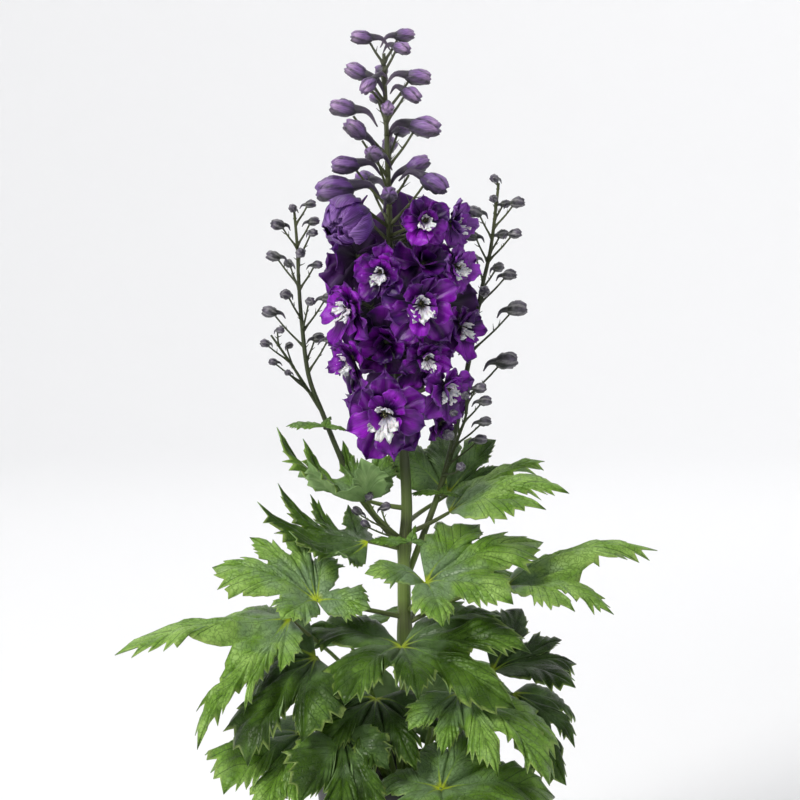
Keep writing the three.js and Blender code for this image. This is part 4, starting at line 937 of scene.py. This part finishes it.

# Bud skin: closed sepals, smooth and slightly bloomed, greenish slate at the base and lavender where
# the light has ripened them, deeper violet low on the spike, with dark seams where the sepals lap.
# Painted shade turns the underside of each bud dark slate; the spur has that dark slate of its own.
bud_skin, tree, shader = new_material(
    "bloomed violet bud", Roughness=0.38, Sheen_Weight=0.1, Sheen_Roughness=0.5, Sheen_Tint="#d8c8f0")
coords = add(tree, "TexCoord")
along = add(tree, "SeparateXYZ", {0: coords.outputs["UV"]}).outputs["Y"]
ripe = add(tree, "ValToRGB", {"Fac": along}, stops=[
    (0.0, "#3a3f38"), (0.2, "#5a4c6c"), (0.5, "#946eb0"), (0.8, "#bc9aca"), (1.0, "#725c84"),
])
stretched = add(tree, "Mapping", {"Vector": coords.outputs["UV"], "Scale": (22.0, 2.0, 1.0)})
mottle = add(tree, "TexNoise", {"Vector": stretched, "Scale": 2.4, "Detail": 4.0})
mottle_share = add(tree, "MapRange", {0: mottle, 1: 0.42, 2: 0.66, 3: 0.0, 4: 0.62})
height = add(tree, "SeparateXYZ", {0: coords.outputs["Object"]}).outputs["Z"]
low_share = add(tree, "MapRange", {0: height, 1: 0.565, 2: 0.625, 3: 0.6, 4: 0.0})
upper = add(tree, "Attribute", attribute_name="tone").outputs["Fac"]
# Painted shade: the lower a point faces, the more dark slate it gets; the spur is marked dark as its own
# colour.
shade_share = add(tree, "MapRange", {0: upper, 1: 0.6, 2: 0.05, 3: 0.0, 4: 0.88})
seam = add(tree, "Attribute", attribute_name="seam").outputs["Fac"]
seam_share = add(tree, "MapRange", {0: seam, 1: 0.55, 2: 0.95, 3: 0.0, 4: 0.9})
colour = ripe
for share, over in ((mottle_share, "#3c3248"), (low_share, "#5c2886"), (shade_share, "#33352f"),
                    (seam_share, "#282a27")):
    colour = add(tree, "Mix", {0: share, 6: colour, 7: over}, data_type="RGBA")
bump = add(tree, "Bump", {"Height": mottle, "Strength": 0.6, "Distance": 0.001})
wire(tree, shader, {"Base Color": colour, "Normal": bump})

# Young bud skin: the side spikes are younger, so their sepals are still slate grey with a violet cast,
# mottled in 4 mm spots, with dark seams and a painted light grey highlight beside each of them.
young_skin, tree, shader = new_material(
    "downy slate bud", Roughness=0.4, Sheen_Weight=0.1, Sheen_Roughness=0.5, Sheen_Tint="#d0cce0")
coords = add(tree, "TexCoord")
along = add(tree, "SeparateXYZ", {0: coords.outputs["UV"]}).outputs["Y"]
slate = add(tree, "ValToRGB", {"Fac": along},
            stops=[(0.0, "#454d34"), (0.35, "#46464a"), (0.7, "#5e5668"), (1.0, "#4a4254")])
mottle = add(tree, "TexNoise", {"Vector": coords.outputs["Object"], "Scale": 260.0, "Detail": 3.0})
mottle_share = add(tree, "MapRange", {0: mottle, 1: 0.4, 2: 0.62, 3: 0.0, 4: 0.8})
seam = add(tree, "Attribute", attribute_name="seam").outputs["Fac"]
seam_share = add(tree, "MapRange", {0: seam, 1: 0.5, 2: 0.95, 3: 0.0, 4: 0.75})
# Painted highlight: a light grey band beside each dark seam, where the lapping sepal would catch the light.
seam_colour = add(tree, "ValToRGB", {"Fac": seam},
                  stops=[(0.6, "#8a8a88"), (0.8, "#a8a6a8"), (1.0, "#1a1a1e")])
colour = slate
for share, over in ((mottle_share, "#1e2022"), (seam_share, seam_colour)):
    colour = add(tree, "Mix", {0: share, 6: colour, 7: over}, data_type="RGBA")
bump = add(tree, "Bump", {"Height": mottle, "Strength": 0.4, "Distance": 0.0005})
wire(tree, shader, {"Base Color": colour, "Normal": bump})


def stem_point(stem, height):
    """The point of a stem, given as points that rise steadily, at a height."""
    x, y = (interpolate([(point[2], point[k]) for point in stem], height) for k in (0, 1))
    return Vector((x, y, height))


def bud(bm, layers, base, direction, length, rng, material, columns, rows, spur):
    """A closed bud: five sepals that lap over each other in a loose twist, and the horned spur behind."""
    axis = direction.normalized()
    side = axis.cross(UP).normalized()
    top = side.cross(axis)
    roll = rng.random()
    plump = BUD_PLUMPNESS * length * (1.35 - 0.35 * spur)  # a young bud, with a short spur, is rounder

    def place(across, along, vert):
        theta = math.pi * across
        lap = (5 * theta / (2 * math.pi) + 0.8 * along + roll) % 1.0
        tipped = max(0.0, along - 0.6) / 0.4
        radius = plump * interpolate(BUD_OUTLINE, along) * (1 + 0.26 * (lap - 0.5))
        run = interpolate(BUD_PLACES, along) - 0.17 * tipped * (1 - math.sin(math.pi * lap)) * (along < 0.99)
        out = side * math.cos(theta) + top * math.sin(theta)
        sag = top * (0.12 * plump * math.sin(math.pi * along))
        vert[layers["seam"]] = abs(2 * lap - 1)
        # Painted light and shade: a point is marked light where it faces up and dark where it faces down.
        vert[layers["tone"]] = 0.5 + 0.5 * out.dot(UP)
        point = base + axis * (run * length) + out * radius + sag
        return (point + out * (0.16 * radius * noise.noise(point / (0.2 * length)))) * MM

    shaped_grid(bm, columns, rows, place, material)
    swerve = side * (rng.choice((-1, 1)) * rng.uniform(0.05, 0.25) * length)
    horn = [base + axis * (0.22 * length) + top * (0.06 * length),
            base - axis * (0.32 * spur * length) + top * (0.04 * length) + swerve * 0.4,
            base - axis * (0.66 * spur * length) - UP * (0.40 * spur * length) + swerve]
    for vert in tube(bm, horn, lambda share: length * (0.15 * (1 - share) ** 1.1 + 0.025), 8, 8, material):
        vert[layers["tone"]] = 0.1
        vert[layers["seam"]] = 0.3


def bract(bm, start, out, thickness, sag):
    """A thread-like bract that leaves a stalk at start and ends in a point."""
    tube(bm, [start, start + out * 0.5 - UP * sag, start + out],
         lambda share: thickness * (1 - share) + 0.12, 4, 5, STALK)


def budded_stalks(bm, layers, stem, buds, slender, lift, rng, material, columns, rows, spur=1.0):
    """Buds on their stalks. A bud points away from the stem, and its stalk starts inside the stem."""
    lowest, highest = stem[0][2] + 2, stem[-1][2] - 1

    def stalk_radius(share):
        swell = 0.8 * max(0, share - 0.8) + 1.2 * max(0, 0.2 - share) * 4
        return slender * (1.2 - 0.4 * share + swell)

    for x, y, z, length, *rise in buds:
        centre = Vector((x, y, z))
        away = centre - stem_point(stem, min(z, highest))
        away.z = 0
        reach = away.length
        climb = math.tan(math.radians(rise[0])) if rise else lift
        direction = (away.normalized() + UP * climb).normalized()
        base = centre - direction * (length / 2)
        foot = stem_point(stem, min(max(base.z - 0.95 * reach - 3, lowest), highest))
        seat = base + direction * (0.16 * length) - UP * (0.18 * length)
        bend = foot.lerp(seat, 0.6) - UP * (0.04 * reach)
        tube(bm, [foot, bend, seat], stalk_radius, 10, 8, STALK)
        bud(bm, layers, base, direction, length, rng, material, columns, rows, spur)
        for start in (foot, bend, bend.lerp(seat, 0.3)):
            flick = Vector((rng.uniform(-1, 1), rng.uniform(-1, 1), rng.uniform(0.2, 1.2))).normalized()
            out = (direction * 0.6 + flick).normalized() * length * rng.uniform(0.25, 0.45)
            bract(bm, start, out, 0.5, 0.4)


def small_leaf(bm, layers, stem, at, azimuth, tilt, size, rng):
    """A three-lobed leaf on a short stalk from the nearest point of its stem."""
    matrix = facing(at, azimuth, tilt)
    tips = [matrix @ Vector((share * size * math.cos(a), share * size * math.sin(a), -0.1 * size))
            for a, share in ((math.radians(-8), 0.8), (math.radians(70), 0.6), (math.radians(178), 1.35))]
    faces_before = len(bm.faces)
    blade(bm, layers, dict(junction=at, tips=tips, tone=0.6, arch=0.1, breadth=0.36), rng)
    bm.faces.ensure_lookup_table()
    faces = bm.faces[faces_before:]
    for face in faces:
        face.material_index = SMALL_BLADE
        for vert in face.verts:
            vert[layers["reach"]] = max(vert[layers["reach"]], 40.0)  # past the star and the wide ribs
    give_thickness(bm, faces, BLADE_THICKNESS, SMALL_BLADE_UNDER)
    tube(bm, [stem_point(stem, at[2] - 2), Vector(at) - UP, Vector(at)], lambda share: 1.1 - 0.2 * share,
         6, 8, STALK)


spike_skins = [stalk_skin, bud_skin, leaf_upper, leaf_under, young_skin]
spike_keys = ("rib", "reach", "vein", "edge", "tone", "seam")
bm, layers = new_piece(*spike_keys)
rng = random.Random(90)
low, high = MAIN_STEM[0][2], MAIN_STEM[-1][2]
tube(bm, MAIN_STEM, lambda share: interpolate(MAIN_STEM_RADII, low + share * (high - low)), 120, 20, STALK)
for bloom in BLOOMS.values():
    matrix = facing(bloom["at"], bloom["azimuth"], bloom["tilt"])
    base = matrix @ Vector((0, 0, RECEPTACLE_TOP - RECEPTACLE_DEPTH))
    behind = matrix @ Vector((0, 0, RECEPTACLE_TOP - RECEPTACLE_DEPTH - 7))
    foot = stem_point(MAIN_STEM, base.z - 12)
    tube(bm, [foot, foot.lerp(behind, 0.6), behind, base], lambda share: 1.45 - 0.3 * share, 10, 8, STALK)
    for k in range(4):
        start = foot.lerp(behind, rng.uniform(0.1, 0.9))
        flick = Vector((rng.uniform(-1, 1), rng.uniform(-1, 0.4), rng.uniform(0, 1.2))).normalized()
        bract(bm, start, flick * rng.uniform(6, 12), 0.7, 1)
budded_stalks(bm, layers, MAIN_STEM, MAIN_BUDS, 1.0, 0.1, rng, RIPE_BUD, 25, 12)
tube(bm, LOW_SPRAY, lambda share: 1.5 - 0.7 * share, 12, 8, STALK)
budded_stalks(bm, layers, LOW_SPRAY, LOW_BUDS, 0.7, 0.5, rng, YOUNG_BUD, 20, 10, 0.5)
small_leaf(bm, layers, MAIN_STEM, (2, -12, 304), 280, 20, 24, rng)
finish_piece("main_spike_grown", bm, spike_skins, "main_spike")

for node, stem, buds, branch, branch_buds, leaf in (
    ("left_spike", LEFT_STEM, LEFT_BUDS, LEFT_BRANCH, LEFT_BRANCH_BUDS, ((-63, 14, 388), 268, 40, 22)),
    ("right_spike", RIGHT_STEM, RIGHT_BUDS, RIGHT_BRANCH, RIGHT_BRANCH_BUDS, ((26, 8, 338), 275, 40, 18)),
):
    bm, layers = new_piece(*spike_keys)
    tube(bm, stem, lambda share: 2.5 - 1.5 * share, 60, 14, STALK)
    tube(bm, branch, lambda share: 1.4 - 0.6 * share, 24, 10, STALK)
    budded_stalks(bm, layers, stem, buds, 0.75, 0.15, rng, YOUNG_BUD, 20, 10, 0.6)
    budded_stalks(bm, layers, branch, branch_buds, 0.7, 0.15, rng, YOUNG_BUD, 20, 10, 0.6)
    small_leaf(bm, layers, stem, *leaf, rng)
    finish_piece(node + "_grown", bm, spike_skins, node)


# ---- Potting mix ----
# A plug of dark peat and composted bark that fills the pot and rises a little towards the crown, with
# loose crumbs on top. It is watered in by hand, so its surface is uneven.
POT_HEIGHT = 128
POT_RIM_RADIUS = 72
POT_FOOT_RADIUS = 55
POT_FLOOR = 2.4
POT_WALL = 1.8
RIM_BAND = 12
MIX_GAP = 0.8
SOIL_SIDES = 72
SOIL_ROWS = 32
CRUMBS = 620

# Peat and bark: matt, almost black when moist, with brown fibres and lighter grains of about 3 mm.
peat, tree, shader = new_material("moist peat and bark", Roughness=0.95)
coords = add(tree, "TexCoord").outputs["Object"]
grain = add(tree, "TexNoise", {"Vector": coords, "Scale": 320.0, "Detail": 6.0, "Roughness": 0.7})
brown = add(tree, "ValToRGB", {"Fac": grain},
            stops=[(0.35, "#0c0906"), (0.55, "#20160e"), (0.75, "#4a3524")])
bump = add(tree, "Bump", {"Height": grain, "Strength": 0.9, "Distance": 0.0015})
wire(tree, shader, {"Base Color": brown, "Normal": bump})


def pot_inside(height):
    """The radius of the mix at a height, a little inside the pot's wall."""
    share = min(1.0, (height - POT_FLOOR) / (POT_HEIGHT - RIM_BAND - 2 - POT_FLOOR))
    return POT_FOOT_RADIUS + (POT_RIM_RADIUS - 2 - POT_FOOT_RADIUS) * share - POT_WALL - MIX_GAP


def soil_height(x, y):
    """The height of the crumbly surface."""
    away = math.hypot(x, y) / pot_inside(SOIL_TOP)
    rough = noise.noise(Vector((x, y, 0)) / 9) * 1.5 + noise.noise(Vector((x, y, 5)) / 3.2) * 0.8
    return SOIL_TOP - 4 + 3.2 * (1.1 - away) + rough


def place_soil(across, along, vert):
    """Two rows for the floor, one up the wall, and the rest for the surface, in to its middle."""
    row = round(along * SOIL_ROWS)
    angle = -math.pi * across
    floor = row < 2
    if floor:
        radius = row * pot_inside(POT_FLOOR)
    else:
        radius = pot_inside(SOIL_TOP - 4) * (SOIL_ROWS - row) / (SOIL_ROWS - 2)
    x, y = radius * math.cos(angle), radius * math.sin(angle)
    return Vector((x, y, POT_FLOOR + 0.3 if floor else soil_height(x, y))) * MM


bm, _ = new_piece()
shaped_grid(bm, SOIL_SIDES, SOIL_ROWS, place_soil)
bmesh.ops.remove_doubles(bm, verts=bm.verts[:], dist=WELD)
bmesh.ops.recalc_face_normals(bm, faces=bm.faces[:])
rng = random.Random(11)
for k in range(CRUMBS):
    away = (pot_inside(SOIL_TOP) - 3) * math.sqrt(rng.random())
    turn = rng.uniform(0, 2 * math.pi)
    x, y = away * math.cos(turn), away * math.sin(turn)
    size = rng.uniform(0.5, 1.9)
    crumb = bmesh.ops.create_icosphere(bm, subdivisions=1, radius=size * MM)["verts"]
    stretch = (rng.uniform(0.7, 1.5), rng.uniform(0.6, 1.1), rng.uniform(0.5, 0.9))
    bmesh.ops.scale(bm, vec=stretch, verts=crumb)
    tumble = Matrix.Rotation(rng.uniform(0, 6.3), 3, (rng.random(), rng.random(), 1))
    bmesh.ops.rotate(bm, matrix=tumble, verts=crumb)
    bmesh.ops.translate(bm, vec=Vector((x, y, soil_height(x, y) + 0.25 * size)) * MM, verts=crumb)
finish_piece("potting_mix_plug", bm, [peat], "soil")


# ---- Nursery pot ----
# A plain injection-moulded nursery pot: thin tapered wall, rolled rim band, stacking step and four
# drain holes in the floor.
POT_SIDES = 96
DRAIN_HOLES = 4
HOLE_RADIUS = 5
HOLE_RING = 34
SHARP_EDGE = math.radians(40)

# Polypropylene with carbon black: satin from the mould, dusty in 25 mm smears, pitted at 0.7 mm.
black_plastic, tree, shader = new_material("moulded black polypropylene", Roughness=0.5, IOR=1.49)
coords = add(tree, "TexCoord").outputs["Object"]
dust = add(tree, "TexNoise", {"Vector": coords, "Scale": 40.0, "Detail": 5.0})
black = add(tree, "ValToRGB", {"Fac": dust}, stops=[(0.4, "#1d1e1f"), (0.75, "#2c2c2c")])
gloss = add(tree, "MapRange", {0: dust, 1: 0.3, 2: 0.7, 3: 0.42, 4: 0.62})
pits = add(tree, "TexNoise", {"Vector": coords, "Scale": 1400.0, "Detail": 1.0})
bump = add(tree, "Bump", {"Height": pits, "Strength": 0.15, "Distance": 0.0003})
wire(tree, shader, {"Base Color": black, "Roughness": gloss, "Normal": bump})

wall_foot, wall_top, band_foot = POT_FOOT_RADIUS, POT_RIM_RADIUS - 3, POT_HEIGHT - RIM_BAND
profile = [
    (0, 1.0), (40, 1.0), (42, 0), (wall_foot - 1.2, 0), (wall_foot - 0.3, 0.4), (wall_foot, 1.3),
    (wall_top, band_foot - 1.5), (POT_RIM_RADIUS - 0.4, band_foot - 0.4), (POT_RIM_RADIUS, band_foot + 0.4),
    (POT_RIM_RADIUS, POT_HEIGHT - 0.9), (POT_RIM_RADIUS - 0.5, POT_HEIGHT - 0.1),
    (POT_RIM_RADIUS - 1.3, POT_HEIGHT), (POT_RIM_RADIUS - POT_WALL, POT_HEIGHT - 0.5),
    (wall_top + 1 - POT_WALL, band_foot - 2), (wall_foot - POT_WALL, POT_FLOOR + 0.8),
    (wall_foot - POT_WALL - 0.8, POT_FLOOR), (0, POT_FLOOR),
]
bm = bmesh.new()
spun(bm, [(radius * MM, height * MM) for radius, height in profile], POT_SIDES)
bmesh.ops.recalc_face_normals(bm, faces=bm.faces[:])
uncut = put_in_scene("pot_uncut", bm)
bm = bmesh.new()
for k in range(DRAIN_HOLES):
    angle = 2 * math.pi * k / DRAIN_HOLES
    spot = Matrix.Translation((HOLE_RING * MM * math.cos(angle), HOLE_RING * MM * math.sin(angle), 0))
    bmesh.ops.create_cone(bm, cap_ends=True, segments=24, radius1=HOLE_RADIUS * MM, radius2=HOLE_RADIUS * MM,
                          depth=12 * MM, matrix=spot)
drills = put_in_scene("pot_drills", bm)
cut = uncut.modifiers.new("drain holes", "BOOLEAN")
cut.operation = "DIFFERENCE"
cut.object = drills
drilled = bpy.data.meshes.new_from_object(uncut.evaluated_get(bpy.context.evaluated_depsgraph_get()))
bm = bmesh.new()
bm.from_mesh(drilled)
for helper in (uncut, drills):
    bpy.data.objects.remove(helper)
pot = finish_piece("pot_shell", bm, [black_plastic], "pot")
pot.data.shade_smooth()
pot.data.set_sharp_from_angle(angle=SHARP_EDGE)
